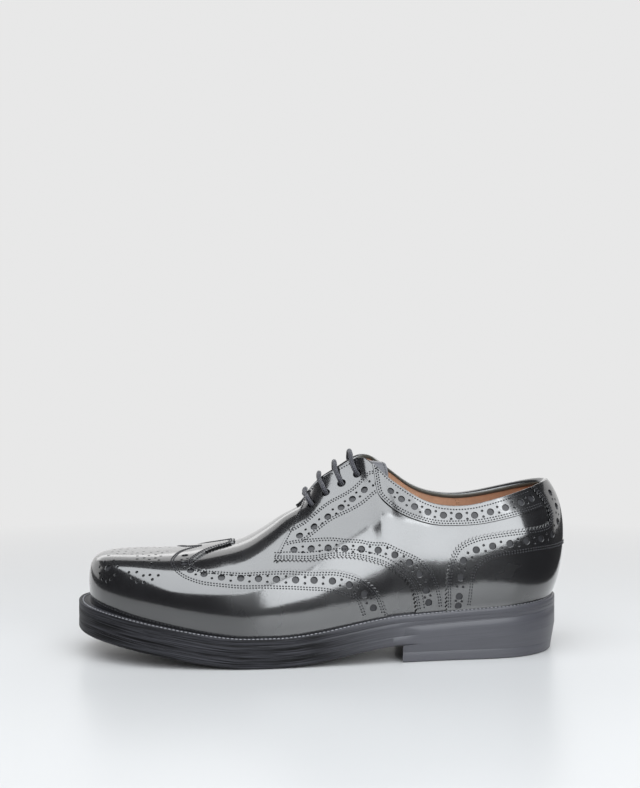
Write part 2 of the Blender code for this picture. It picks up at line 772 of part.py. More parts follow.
def upper_and_overlays(black):
    """Upper, wing cap and quarters over it, counter and strips over the quarters."""
    last = 2 * STATIONS
    cover = OVERLAY_WALL + SEAT_GAP
    first = (-OVERLAY_WALL, 0.0)
    second = (SEAT_GAP, SEAT_GAP + STRIP_WALL)
    holes = eyelet_holes()
    whole = [(0.0, 0.0), (last, 0.0), (last, 1.0), (0.0, 1.0)]
    panel("upper", [whole], -cover - UPPER_WALL, -cover, black, holes)

    wing = edge_curve(WING_EDGE)
    outer = np.concatenate([wing, [(0.0, 0.0), (0.0, 1.0)]])
    panel("wing_cap", [outer, other_side(outer)], *first, black)

    edge = np.concatenate([edge_curve(QUARTER_FRONT), edge_curve(QUARTER_LOW)[1:]])
    panel("quarters", [np.concatenate([edge, other_side(edge)])], *first, black, holes)

    edge = edge_curve(COUNTER_EDGE)
    panel("counter", [np.concatenate([edge, other_side(edge)])], *second, black)

    low = edge_curve(STRIP_EDGE)
    end = edge[(edge[:, 1] > low[-1, 1]) & (edge[:, 0] > low[-1, 0] - 0.1)]
    end = end - (STRIP_END_GAP, 0.0)
    outer = np.concatenate([low, end])
    panel("collar_strip_outer", [outer], *second, black)
    panel("collar_strip_inner", [other_side(outer)], *second, black)


def inset_height(side, s, inset):
    """Height share at which the surface is an inset below its top edge."""
    v = np.linspace(1.0, 0.3, 71)
    line = skin(side, s[:, None], v[None, :])
    run = np.linalg.norm(np.diff(line, axis=1), axis=-1).cumsum(axis=1)
    insets = np.broadcast_to(inset, s.shape)
    return np.array([np.interp(far, row, v[1:]) for far, row in zip(insets, run)])


def eyelet_spots(side):
    """Station and height share of each eyelet, from the top one down."""
    s = np.linspace(THROAT, TOPLINE[0][0], 60)
    low = (TOPLINE[0][0] - s) / (TOPLINE[0][0] - THROAT)
    v = inset_height(side, s, EYELET_INSET + EYELET_SPREAD * low)
    line = skin(side, s, v)
    run = np.linalg.norm(np.diff(line[::-1], axis=0), axis=-1).cumsum()
    run = np.concatenate([[0.0], run])
    drops = TOP_EYELET_DROP + EYELET_PITCH * np.arange(EYELET_COUNT)
    return np.interp(drops, run, s[::-1]), np.interp(drops, run, v[::-1])


def lace_bars(cord):
    """Straight bars of round lace from eyelet to eyelet, over both facings."""
    lift = LACE_RADIUS + 3.0 * SEAT_GAP
    outer_s, outer_v = eyelet_spots(-1)
    inner_s, inner_v = eyelet_spots(1)
    for i in range(EYELET_COUNT):
        halves = []
        for side, s, v in ((-1, outer_s[i], outer_v[i]), (1, inner_s[i], inner_v[i])):
            run = surface(side, s, np.linspace(v, 0.98, 4), np.full(4, lift))
            edge = skin(side, s, 1.0)
            outward = surface(side, s, 1.0, 1.0) - edge + (0.0, 0.0, 1.2)
            over = edge + lift * outward / np.linalg.norm(outward)
            halves.append(np.concatenate([run, [over]]))
        path = np.concatenate([halves[0], halves[1][::-1]])
        curve = bpy.data.curves.new("lace_bar_%d" % (i + 1), "CURVE")
        curve.dimensions = "3D"
        curve.bevel_depth = LACE_RADIUS
        curve.bevel_resolution = 2
        curve.use_fill_caps = True
        run = curve.splines.new("POLY")
        run.points.add(len(path) - 1)
        for point, place in zip(run.points, path.tolist()):
            point.co = (*place, 1.0)
        curve.materials.append(cord)
        thing = bpy.data.objects.new("lace_bar_%d" % (i + 1), curve)
        bpy.context.scene.collection.objects.link(thing)


def tongue_rows():
    """Rows across the tongue's upper face, from under the vamp to its tip."""
    below = -OVERLAY_WALL - UPPER_WALL - 2.6 * SEAT_GAP
    rows = []
    for s in np.linspace(5.5, 7.42, 8):
        share = (s - 5.5) / 1.92
        width = TONGUE_UNDERLAP * (0.7 + 0.3 * share)
        halves = []
        for side in (-1, 1):
            v_far = inset_height(side, np.array([s]), width)[0]
            v = np.linspace(v_far, 1.0, 9)
            room = THROAT_ROOM * min(max((6.9 - s) / 0.6, 0.0), 1.0)
            halves.append(surface(side, s, v, np.full(9, below - room)))
        line = np.concatenate([halves[0], halves[1][::-1]])
        run = np.linalg.norm(np.diff(line, axis=0), axis=-1).cumsum()
        run = np.concatenate([[0.0], run])
        at = np.linspace(0.0, run[-1], 9)
        rows.append(np.column_stack([np.interp(at, run, line[:, i]) for i in range(3)]))
    last = rows[-1]
    for share in (0.35, 0.7, 1.0):
        row = last.copy()
        row[:, 0] += TONGUE_TIP * share
        row[:, 2] -= 0.10 * TONGUE_TIP * share * share
        middle = last[4, 1]
        row[:, 1] = middle + (row[:, 1] - middle) * (1.0 - 0.22 * share ** 0.5)
        across = np.linspace(-1.0, 1.0, 9)
        row[:, 0] -= 0.30 * TONGUE_TIP * share * across ** 4
        rows.append(row)
    return np.array(rows)


def tongue(cloth):
    top = tongue_rows()
    along = np.gradient(top, axis=0)
    across = np.gradient(top, axis=1)
    normal = np.cross(along, across)
    normal /= np.linalg.norm(normal, axis=-1, keepdims=True)
    normal *= np.sign(normal[:, :, 2:3])
    low = top - normal * TONGUE_WALL
    rows, count = top.shape[:2]
    faces = []
    start = rows * count
    for j in range(rows - 1):
        faces += bridge(j * count, (j + 1) * count, count, closed=False)
        faces += bridge(start + j * count, start + (j + 1) * count, count, closed=False)
        for i in (0, count - 1):
            a = j * count + i
            faces.append((a, a + count, start + a + count, start + a))
    for j in (0, rows - 1):
        faces += bridge(j * count, start + j * count, count, closed=False)
    points = np.concatenate([top.reshape(-1, 3), low.reshape(-1, 3)])
    add_object("tongue", points, faces, cloth)


def main():
    clear_scene()
    leather = material("sole_leather", (0.028, 0.028, 0.030), 0.45)
    edge = material("edge_leather", (0.035, 0.035, 0.038), 0.40)
    rubber = material("heel_rubber", (0.020, 0.020, 0.021), 0.60)
    board = material("insole_leather", (0.42, 0.24, 0.12), 0.60)
    black = material("black_leather", (0.010, 0.010, 0.012), 0.18)
    sole_layers(leather, edge)
    heel(edge, rubber)
    insole(board)
    lining = material("tongue_leather", (0.030, 0.030, 0.034), 0.55)
    cord = material("lace_cord", (0.022, 0.022, 0.025), 0.60)
    upper_and_overlays(black)
    tongue(lining)
    lace_bars(cord)


if __name__ == "__main__":
    main()
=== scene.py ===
"""Dressed model of the left shoe of a wing-tip derby with full broguing.

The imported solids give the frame. Every piece here is a surface worked out from the
same tables as the solids: leather skins with punched holes and pinked edges, stitches,
lining, rolled topline, braided lace, welt and layered sole.
"""

import math

import bpy
import numpy as np
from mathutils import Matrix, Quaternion, Vector
from mathutils.geometry import delaunay_2d_cdt


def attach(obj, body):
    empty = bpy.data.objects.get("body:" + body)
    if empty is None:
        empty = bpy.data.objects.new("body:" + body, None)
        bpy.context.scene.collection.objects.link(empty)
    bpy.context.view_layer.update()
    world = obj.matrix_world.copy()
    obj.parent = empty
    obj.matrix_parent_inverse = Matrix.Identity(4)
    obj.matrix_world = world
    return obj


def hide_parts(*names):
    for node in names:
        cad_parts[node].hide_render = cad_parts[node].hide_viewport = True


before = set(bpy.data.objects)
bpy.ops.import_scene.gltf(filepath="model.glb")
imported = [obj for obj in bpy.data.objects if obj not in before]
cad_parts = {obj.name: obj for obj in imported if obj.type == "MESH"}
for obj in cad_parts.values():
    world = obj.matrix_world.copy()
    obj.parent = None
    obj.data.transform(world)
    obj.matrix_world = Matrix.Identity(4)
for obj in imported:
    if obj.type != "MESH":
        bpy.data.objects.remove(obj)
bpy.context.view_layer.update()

bl_info = {
    "name": "Brogue Shoe",
    "version": (1, 0, 0),
    "blender": (4, 5, 0),
    "location": "3D View > Sidebar > Brogue",
    "description": "Dresses the solids of a wing-tip derby shoe",
    "category": "Object",
}

# Sole
SOLE_LENGTH = 0.305
ORIGIN_SHARE = 0.5093
BALL_WIDTH = 0.1065
HEEL_WIDTH = 0.0730
OUTSOLE_THICKNESS = 0.0056
MIDSOLE_THICKNESS = 0.0078
WELT_THICKNESS = 0.0034
OUTSOLE_EDGE_RADIUS = 0.0018
WELT_OVERLAP = 0.0060
TOE_SPRING = 0.0163
SPRING_BEND = 0.0180
FLAT_FRONT = 0.1075
FLAT_LENGTH = 0.0160
HEEL_SEAT_HEIGHT = 0.0165
HEEL_SEAT_PITCH = 0.0580
HEEL_LENGTH = 0.1022
HEEL_TOP_PIECE = 0.0060
HEEL_TAPER = 0.0030
BREAST_HOLLOW = 0.0060
BREAST_SLOPE = 0.061
HEEL_BREAST = (1.0 - ORIGIN_SHARE) * SOLE_LENGTH - HEEL_LENGTH
HEEL_LINE_DROP = 0.0065

# Upper, heights over the top of the welt
TOE_HEIGHT = 0.0380
INSTEP_HEIGHT = 0.0992
BACK_HEIGHT = 0.0730
TOPLINE_DIP = 0.0120
MEDIAL_LIFT = 0.0072
FACING_GAP = 0.0150
COLLAR_WIDTH = 0.0550
SWELL = 0.0100
UPPER_WALL = 0.0015
OVERLAY_WALL = 0.0011
STRIP_WALL = 0.0008
STRIP_END_GAP = 0.05
SEAT_GAP = 0.0003

# Tongue and lace
TONGUE_WALL = 0.0024
TONGUE_UNDERLAP = 0.0170
TONGUE_TIP = 0.0190
TONGUE_RIM = 0.0008
TONGUE_STITCH = 0.0016
THROAT_ROOM = 0.0010
EYELET_COUNT = 4
EYELET_INSET = 0.0100
EYELET_SPREAD = 0.0060
EYELET_PITCH = 0.0115
TOP_EYELET_DROP = 0.0080

# Broguing, stitches and topline
EYELET_RADIUS = 0.0029
SMALL_HOLE_OFFSET = 0.00185
LIP = 0.00030
BACKING_WALL = 0.00026
BACKING_GAP = 0.00002
OVERLAY_MARGIN = 0.0015
STRIP_MARGIN = 0.0012
EDGE_ROWS = (0.0017, 0.0031)
TWIN_ROWS = (-0.0007, 0.0007)
STITCH_SHARE = 0.64
STITCH_LIFT = 0.00004
WELT_STITCH_INSET = 0.0025
BRAID_PITCH = 0.0011
BRAID_STRANDS = 4.0
ROLL_RISE = 0.0005
LINING_DEPTH = OVERLAY_WALL + SEAT_GAP + UPPER_WALL
LINING_SEAM_STATION = 9.45
LINING_SEAM_HALF = 0.0008
LINING_STITCH = 0.0021
# Section of the topline's binding: way down the lining and height over it.
BINDING = ((0.0, 0.00025), (0.0012, 0.00030), (0.0026, 0.00022), (0.0027, 0.0001),
           (0.0026, -0.0002), (0.0, -0.0002))

# Stage
FLOOR_FRONT = -0.33
FLOOR_BACK = 4.6
BACKDROP_RADIUS = 4.5
CAMERA_TURN = -3.5
GLOW = (0.806, 0.806, 0.806, 1.0)
CAMERA_PLACE = (-0.0427 - 0.0028, -0.6987, 0.1623)
PALE, WHITE = (0.935, 0.97, 1.0), (1.0, 1.0, 1.0)
# name, place, target, width, height, power, colour, roll in degrees
SOFTBOXES = (
    ("top_softbox", (-0.67, -1.25, 1.50), (-0.67, -1.25, 0.0), 1.26, 2.70, 32.0, PALE, 0.0),
    ("front_softbox", (0.53, -1.275, 1.50), (0.53, -1.275, 0.0), 1.14, 1.65, 17.7, PALE, 0.0),
    ("ceiling_softbox", (0.425, -0.075, 1.50), (0.425, -0.075, 0.0), 1.35, 0.75, 9.5, PALE,
     0.0),
    ("side_softbox", (0.77, -1.60, 0.76), (0.77, 0.0, 0.76), 1.50, 0.95, 18.8, PALE, 14.0),
    ("rear_softbox", (0.0, 1.35, 0.95), (0.0, 0.0, 0.05), 2.4, 0.9, 6.0, WHITE, 0.0),
)

STATIONS = 12
RING = 2 * STATIONS
FOOT_BAND = 0.05
# Closeness of stations and height shares that count as one, and the plan's net: how far
# heights are stretched against stations, and the grid's margin round a hole.
NEAR = 1e-6
PLAN_STRETCH = 2.6
HOLE_MARGIN = 1.12

# Plan of the outsole: share of the length from the toe tip, outer and inner edge as
# shares of the width, and how far that width is the ball's rather than the heel's.
#        length  outer   inner  ball
PLAN = (
    (0.000, 0.057, 0.057, 1.0),
    (0.018, -0.165, 0.265, 1.0),
    (0.074, -0.330, 0.395, 1.0),
    (0.156, -0.437, 0.465, 1.0),
    (0.254, -0.493, 0.492, 1.0),
    (0.359, -0.507, 0.488, 1.0),
    (0.467, -0.479, 0.423, 1.0),
    (0.572, -0.500, 0.391, 0.6),
    (0.677, -0.505, 0.394, 0.3),
    (0.782, -0.525, 0.470, 0.0),
    (0.887, -0.475, 0.512, 0.0),
    (0.966, -0.275, 0.370, 0.0),
    (1.000, 0.068, 0.068, 0.0),
)

# Width of welt that shows outside the upper, at each station.
WELT_SHOW = (
    0.0072, 0.0070, 0.0064, 0.0060, 0.0057, 0.0056, 0.0053,
    0.0049, 0.0045, 0.0039, 0.0034, 0.0032, 0.0032,
)

# Top edge of the upper. Ridge: station, share of the length, rise from the toe's height
# to the instep's. Topline: the same with the back's height, and the share of the dip.
RIDGE = (
    (3.03, 0.159, 0.000), (3.55, 0.208, 0.053), (3.98, 0.249, 0.112), (4.42, 0.291, 0.180),
    (4.86, 0.333, 0.250), (5.20, 0.366, 0.335), (5.50, 0.395, 0.425), (5.75, 0.420, 0.505),
    (6.10, 0.457, 0.600), (6.35, 0.475, 0.700), (6.60, 0.495, 0.797), (6.90, 0.520, 0.866),
    (7.20, 0.546, 0.922), (7.42, 0.569, 0.963),
)
TOPLINE = (
    (7.58, 0.588, 0.916, 0.00), (7.72, 0.605, 0.748, 0.00), (7.95, 0.625, 0.485, 0.00),
    (8.40, 0.670, 0.050, 0.00), (8.85, 0.723, 0.000, 0.63), (9.25, 0.779, 0.000, 0.85),
    (9.75, 0.834, 0.000, 0.72), (10.35, 0.890, 0.000, 0.43), (11.00, 0.941, 0.000, 0.16),
    (11.50, 0.971, 0.000, 0.02), (12.00, 0.984, 0.000, 0.00),
)
# Its opening: station, shares of the facing gap, the collar's width and the inner lift.
OPENING = (
    (5.90, 0.00, 0.000, 0.00), (6.15, 0.18, 0.000, 0.00), (6.40, 0.46, 0.000, 0.00),
    (6.80, 0.72, 0.000, 0.00), (7.20, 0.90, 0.010, 0.00), (7.42, 0.95, 0.060, 0.05),
    (7.58, 1.00, 0.170, 0.16), (7.72, 1.00, 0.300, 0.55), (7.95, 1.00, 0.400, 0.95),
    (8.40, 1.00, 0.560, 0.92), (8.85, 1.00, 0.660, 0.75), (9.25, 1.00, 0.725, 0.50),
    (9.75, 1.00, 0.730, 0.23), (10.35, 0.90, 0.690, 0.04), (11.00, 0.60, 0.520, 0.00),
    (11.50, 0.30, 0.280, 0.00), (12.00, 0.00, 0.000, 0.00),
)
THROAT = 6.0
POLE = 3.03
POLE_BLEND = 1.60

# Middle line of the upper's top: share of the length, offset as a share of the ball.
MIDDLE = (
    (0.00, 0.056), (0.16, 0.040), (0.30, 0.026), (0.45, 0.014), (0.60, 0.000),
    (0.75, -0.006), (0.86, 0.006), (0.94, 0.030), (1.00, 0.047),
)

# Sections of the upper, a row for each station: three points between welt and top
# edge and the one that leads into the top edge. Each has its share of the way from
# the welt to the top edge in plan, its share of the height and its swell outwards.
#    in1   up1   out1  in2   up2   out2  in3   up3   out3  in4   down4 out4
SECTIONS = (
    (0.00, 0.28, 0.12, 0.00, 0.72, 0.14, 0.10, 1.00, 0.00, 0.50, 0.00, 0.00),
    (0.00, 0.28, 0.12, 0.00, 0.70, 0.15, 0.12, 0.99, 0.00, 0.50, 0.00, 0.00),
    (0.00, 0.26, 0.13, 0.01, 0.66, 0.17, 0.17, 0.97, 0.00, 0.54, 0.00, 0.00),
    (0.00, 0.24, 0.15, 0.02, 0.62, 0.19, 0.25, 0.95, 0.00, 0.60, 0.00, 0.00),
    (0.00, 0.22, 0.17, 0.03, 0.58, 0.21, 0.31, 0.93, 0.00, 0.66, 0.00, 0.00),
    (0.00, 0.20, 0.17, 0.05, 0.54, 0.21, 0.34, 0.91, 0.00, 0.68, 0.00, 0.00),
    (0.00, 0.17, 0.15, 0.06, 0.48, 0.20, 0.36, 0.83, 0.02, 0.72, 0.00, 0.00),
    (0.00, 0.15, 0.11, 0.08, 0.42, 0.14, 0.34, 0.73, 0.08, 0.74, 0.10, 0.05),
    (0.00, 0.14, 0.10, 0.08, 0.40, 0.10, 0.30, 0.67, 0.08, 0.68, 0.14, 0.06),
    (0.00, 0.14, 0.18, 0.10, 0.42, 0.22, 0.40, 0.70, 0.18, 0.80, 0.14, 0.06),
    (0.00, 0.13, 0.30, 0.10, 0.42, 0.44, 0.40, 0.72, 0.42, 0.80, 0.12, 0.18),
    (0.00, 0.12, 0.40, 0.10, 0.42, 0.78, 0.50, 0.73, 0.78, 0.80, 0.10, 0.36),
    (0.00, 0.12, 0.42, 0.10, 0.42, 0.86, 0.50, 0.74, 0.86, 0.90, 0.08, 0.46),
)

# Edges of the overlays on the outer side, as station and height share.
WING_EDGE = (
    (4.72, 1.00), (4.64, 0.93), (4.23, 0.87), (3.97, 0.76), (3.87, 0.67), (3.99, 0.58),
    (4.39, 0.535), (5.33, 0.455), (6.40, 0.34), (7.02, 0.25), (7.38, 0.135), (7.58, -0.02),
)
QUARTER_FRONT = (
    (6.62, 1.00), (6.34, 0.99), (6.11, 0.93), (5.90, 0.79), (5.61, 0.62), (5.43, 0.51),
)
QUARTER_LOW = (
    (5.43, 0.51), (6.00, 0.445), (6.60, 0.39), (7.10, 0.34), (7.55, 0.265), (7.90, 0.20),
    (8.04, 0.11), (8.10, -0.02),
)
COUNTER_EDGE = (
    (8.66, -0.02), (8.68, 0.22), (8.80, 0.40), (8.99, 0.56), (9.23, 0.65), (9.56, 0.682),
    (10.20, 0.652), (10.84, 0.622), (11.04, 0.685), (11.04, 0.79), (10.86, 1.00),
)
STRIP_EDGE = (
    (7.72, 1.00), (7.66, 0.90), (7.62, 0.79), (7.78, 0.745), (8.30, 0.755), (9.00, 0.815),
    (9.60, 0.807), (10.40, 0.795), (10.92, 0.793),
)


def spline(knots, values):
    """Natural cubic spline through rows of values; returns a function of the knot."""
    knots = np.asarray(knots, float)
    values = np.asarray(values, float)
    count = len(knots)
    step = np.diff(knots)
    matrix = np.zeros((count, count))
    right = np.zeros((count, values.shape[1]))
    matrix[0, 0] = 1.0
    matrix[-1, -1] = 1.0
    slope = np.diff(values, axis=0) / step[:, None]
    for i in range(1, count - 1):
        matrix[i, i - 1] = step[i - 1]
        matrix[i, i] = 2.0 * (step[i - 1] + step[i])
        matrix[i, i + 1] = step[i]
        right[i] = 6.0 * (slope[i] - slope[i - 1])
    bend = np.linalg.solve(matrix, right)

    def evaluate(t):
        t = np.asarray(t, float)
        i = np.clip(np.searchsorted(knots, t, side="right") - 1, 0, count - 2)
        h = step[i][..., None]
        a = (knots[i + 1] - t)[..., None] / h
        b = (t - knots[i])[..., None] / h
        curve = (a ** 3 - a) * bend[i] + (b ** 3 - b) * bend[i + 1]
        return a * values[i] + b * values[i + 1] + curve * h * h / 6.0

    return evaluate


def ring_spline(outer, inner):
    """Closed spline round the shoe: outer rows toe to heel, inner rows back again."""
    rows = list(outer) + list(inner[-2:0:-1])
    count = len(rows)
    wrapped = [rows[i % count] for i in range(-6, count + 7)]
    return spline(np.arange(-6, count + 7), wrapped)


def ring_station(side, s):
    """Station round the ring: outer side 0 to 12, inner side 24 back to 12."""
    s = np.asarray(s, float)
    return s if side < 0 else RING - s


def plan_rows(side):
    """Rows of the outline's spline on one side, from the shares of PLAN, in metres."""
    rows = []
    for length, outer, inner, ball in PLAN:
        width = ball * BALL_WIDTH + (1.0 - ball) * HEEL_WIDTH
        share = outer if side < 0 else inner
        rows.append(((length - ORIGIN_SHARE) * SOLE_LENGTH, share * width))
    return rows


OUTLINE = ring_spline(plan_rows(-1), plan_rows(1))
SHOW = ring_spline([(w,) for w in WELT_SHOW], [(w,) for w in WELT_SHOW])
SECTION = ring_spline(SECTIONS, SECTIONS)
CENTRE = spline([row[0] for row in MIDDLE], [(row[1],) for row in MIDDLE])


def outline(t, inset=0.0):
    """Plan point of the outsole's edge at ring station t, moved in by inset."""
    t = np.asarray(t, float)
    point = OUTLINE(t)
    along = OUTLINE(t + 0.01) - OUTLINE(t - 0.01)
    along /= np.linalg.norm(along, axis=-1, keepdims=True)
    outward = np.stack([along[..., 1], -along[..., 0]], axis=-1)
    return point - outward * np.asarray(inset)[..., None], outward


def sole_bottom(x):
    """Height of the outsole's underside: toe spring, flat ball, arch, heel seat."""
    x = np.asarray(x, float)
    flat_start = FLAT_FRONT - ORIGIN_SHARE * SOLE_LENGTH
    flat_end = flat_start + FLAT_LENGTH
    ahead = np.maximum(flat_start - x, 0.0)
    full = math.hypot(FLAT_FRONT, SPRING_BEND) - SPRING_BEND
    spring = TOE_SPRING * (np.hypot(ahead, SPRING_BEND) - SPRING_BEND) / full
    run = HEEL_BREAST - flat_end
    seat = HEEL_SEAT_HEIGHT - HEEL_SEAT_PITCH * HEEL_LENGTH
    t = np.clip((x - flat_end) / run, 0.0, 1.0)
    arch = seat * t * t * (3.0 - 2.0 * t) + HEEL_SEAT_PITCH * run * (t ** 3 - t ** 2)
    behind = np.maximum(x - HEEL_BREAST, 0.0)
    return spring + arch + HEEL_SEAT_PITCH * behind


def welt_top(x):
    """Height of the welt's upper face: the underside and the three layers over it."""
    stack = OUTSOLE_THICKNESS + MIDSOLE_THICKNESS + WELT_THICKNESS + 2 * SEAT_GAP
    return sole_bottom(x) + stack


def top_tables():
    """Spline of the top edge: share of the length and height, past the heel and back."""
    knots = []
    values = []
    for station, length, rise in RIDGE:
        height = TOE_HEIGHT + rise * (INSTEP_HEIGHT - TOE_HEIGHT)
        knots.append(station)
        values.append((length, height))
    for station, length, rise, dip in TOPLINE:
        height = BACK_HEIGHT + rise * (INSTEP_HEIGHT - BACK_HEIGHT) - dip * TOPLINE_DIP
        knots.append(station)
        values.append((length, height))
    for i in range(len(TOPLINE) - 1, 6, -1):
        knots.append(RING - TOPLINE[i - 1][0])
        values.append(values[len(RIDGE) + i - 1])
    return spline(knots, values)


def opening_tables():
    """Spline of the opening: half its width and the inner side's lift."""
    knots = [row[0] for row in OPENING]
    values = []
    for station, gap, collar, lift in OPENING:
        half = 0.5 * (gap * FACING_GAP + collar * COLLAR_WIDTH)
        values.append((half, lift * MEDIAL_LIFT))
    for i in range(len(OPENING) - 2, 10, -1):
        knots.append(RING - OPENING[i][0])
        values.append((-values[i][0], values[i][1]))
    return spline(knots, values)


TOP = top_tables()
GAP = opening_tables()


def top_station(s):
    """Station on the top edge: held at the toe's pole, then even with s."""
    s = np.asarray(s, float)
    t = np.clip((s - (POLE - POLE_BLEND / 2)) / POLE_BLEND, 0.0, 1.0)
    eased = POLE + POLE_BLEND * (t ** 3 - 0.5 * t ** 4)
    return np.where(s > POLE + POLE_BLEND / 2, s, eased)


def top_point(side, g):
    """Point of the ridge, facing edge or topline at station g of one side."""
    g = np.asarray(g, float)
    row = TOP(g)
    x = (row[..., 0] - ORIGIN_SHARE) * SOLE_LENGTH
    room = np.where((g > THROAT)[..., None], GAP(np.maximum(g, OPENING[0][0])), 0.0)
    y = CENTRE(row[..., 0])[..., 0] * BALL_WIDTH + side * room[..., 0]
    z = welt_top(x) + row[..., 1] + (room[..., 1] if side > 0 else 0.0)
    return np.stack([x, y, z], axis=-1)


def blend_weights(v):
    """Weights of the six section points: a cubic B-spline with its ends held."""
    v = np.clip(np.asarray(v, float), 0.0, 1.0) * 3.0
    knots = np.array([0, 0, 0, 0, 1, 2, 3, 3, 3, 3], float)
    i = np.clip(np.floor(v).astype(int), 0, 2) + 3
    weights = np.zeros(v.shape + (6,))
    for point in (3, 4, 5):
        inside = (i == point)
        near = [np.ones_like(v)]
        left = [None]
        right = [None]
        for degree in range(1, 4):
            left.append(v - knots[point + 1 - degree])
            right.append(knots[point + degree] - v)
            saved = np.zeros_like(v)
            fresh = []
            for r in range(degree):
                part = near[r] / (right[r + 1] + left[degree - r])
                fresh.append(saved + right[r + 1] * part)
                saved = left[degree - r] * part
            fresh.append(saved)
            near = fresh
        for r in range(4):
            weights[..., point - 3 + r] += np.where(inside, near[r], 0.0)
    return weights


def section_points(side, s):
    """The six points that shape the upper's section at station s."""
    s = np.asarray(s, float)
    t = ring_station(side, s)
    foot, outward = outline(t, SHOW(t)[..., 0])
    foot_z = welt_top(foot[..., 0]) + SEAT_GAP
    top = top_point(side, top_station(s))
    shape = SECTION(t)
    g = top_station(s)
    nose = top_point(0, g + 0.02)
    tail = top_point(0, g - 0.02)
    slope = (nose[..., 2] - tail[..., 2]) / (nose[..., 0] - tail[..., 0])
    along = np.clip((6.6 - s) / 0.8, 0.0, 1.0)
    along = along * along * (3.0 - 2.0 * along)
    height = top[..., 2] - foot_z
    points = [np.concatenate([foot, foot_z[..., None]], axis=-1)]
    for i in range(4):
        share = shape[..., 3 * i, None]
        lift = shape[..., 3 * i + 1]
        swell = shape[..., 3 * i + 2, None] * SWELL
        plan = foot + (top[..., :2] - foot) * share + outward * swell
        if i < 3:
            z = foot_z + height * lift
        else:
            z = top[..., 2] - height * lift + along * slope * (plan[..., 0] - top[..., 0])
        points.append(np.concatenate([plan, z[..., None]], axis=-1))
    points.append(top)
    return np.stack(points, axis=-2)


def skin(side, s, v):
    """Point of the upper's outer face: the section's points under their weights."""
    s, v = np.broadcast_arrays(np.asarray(s, float), np.asarray(v, float))
    return np.einsum("...i,...ij->...j", blend_weights(v), section_points(side, s))


def surface(side, s, v, d=0.0):
    """Point of the upper at station s and height v, d outside its outer face."""
    s, v = np.broadcast_arrays(np.asarray(s, float), np.asarray(v, float))
    point = skin(side, s, v)
    held = np.minimum(v, 0.995)
    along = skin(side, s + 0.02, held) - skin(side, s - 0.02, held)
    up = skin(side, s, np.minimum(held + 0.005, 1.0)) - skin(side, s, held - 0.005)
    normal = np.cross(along, up) * (-side)
    normal /= np.linalg.norm(normal, axis=-1, keepdims=True)
    normal[..., 2] *= np.clip(v / FOOT_BAND, 0.0, 1.0)
    return point + normal * np.asarray(d)[..., None]


def ring_surface(t, v, d):
    """Points at ring stations t; on the ridge and at both ends the sides share them."""
    s = np.where(t <= STATIONS, t, RING - t)
    outer = surface(-1, s, v, d)
    inner = surface(1, s, v, d)
    point = np.where((t <= STATIONS)[:, None], outer, inner)
    seam = (s < NEAR) | (s > STATIONS - NEAR) | ((v > 1.0 - NEAR) & (s <= THROAT + NEAR))
    return np.where(seam[:, None], 0.5 * (outer + inner), point)


def unit(rows):
    """Rows of vectors brought to length one."""
    return rows / np.maximum(np.linalg.norm(rows, axis=-1, keepdims=True), 1e-12)


def lengths(rows):
    """Length along a row of points, from nought at its first point."""
    return np.concatenate([[0.0], np.linalg.norm(np.diff(rows, axis=0), axis=1).cumsum()])


def resampled(at, run, rows):
    """Rows of values, read off at lengths along their run."""
    return np.column_stack([np.interp(at, run, column) for column in rows.T])


def slopes(side, s, v):
    """Metres per station and per height share, by central differences."""
    v = np.clip(v, 0.004, 0.996)
    along = (skin(side, s + 0.01, v) - skin(side, s - 0.01, v)) / 0.02
    up = (skin(side, s, v + 0.004) - skin(side, s, v - 0.004)) / 0.008
    return along, up


def shift(side, s, v, step):
    """Station and height share reached by a short step in metres over the surface."""
    along, up = slopes(side, s, v)
    aa = (along * along).sum(-1)
    au = (along * up).sum(-1)
    uu = (up * up).sum(-1)
    ra = (along * step).sum(-1)
    ru = (up * step).sum(-1)
    det = aa * uu - au * au
    return s + (ra * uu - ru * au) / det, v + (ru * aa - ra * au) / det


def lay(side, rows, pitch, half=False):
    """Rows of station and height share at an equal pitch along a spline through rows."""
    rows = np.asarray(rows, float)
    knots = np.arange(len(rows), dtype=float)
    fine = spline(knots, rows)(np.linspace(0.0, len(rows) - 1.0, 40 * len(rows)))
    fine[:, 1] = np.minimum(fine[:, 1], 1.0)
    run = lengths(skin(side, fine[:, 0], np.maximum(fine[:, 1], 0.0)))
    count = max(int(round(run[-1] / pitch)), 1)
    at = np.linspace(0.0, run[-1], count + 1)
    if half:
        at = at[:-1] + 0.5 * (at[1] - at[0])
    return resampled(at, run, fine)


def headings(side, path):
    """Unit heading along a path over the surface, way to its upper side, and normal."""
    s, v = path[:, 0], np.clip(path[:, 1], 0.0, 1.0)
    ahead = unit(np.gradient(skin(side, s, v), axis=0))
    along, up = slopes(side, s, v)
    normal = unit(np.cross(along, up)) * (-side)
    return ahead, unit(np.cross(normal, ahead)) * (-side), normal


def beside(side, path, offset):
    """A path moved over the surface by an offset towards its upper side."""
    across = headings(side, path)[1]
    s, v = shift(side, path[:, 0], path[:, 1], across * np.asarray(offset)[..., None])
    return np.column_stack([s, np.minimum(v, 1.0)])


def circles(side, spots, radius, sides):
    """Outlines of round holes of one radius about spots on the surface."""
    spots = np.asarray(spots, float)
    s, v = spots[:, 0], spots[:, 1]
    along, up = slopes(side, s, v)
    first = unit(along)
    second = unit(up - first * (up * first).sum(-1, keepdims=True))
    turn = np.linspace(0.0, 2.0 * math.pi, sides + 1)[:-1]
    step = radius * (np.cos(turn)[None, :, None] * first[:, None]
                     + np.sin(turn)[None, :, None] * second[:, None])
    rim_s, rim_v = shift(side, s[:, None].repeat(sides, 1), v[:, None].repeat(sides, 1), step)
    return np.stack([rim_s if side < 0 else RING - rim_s, rim_v], axis=-1)


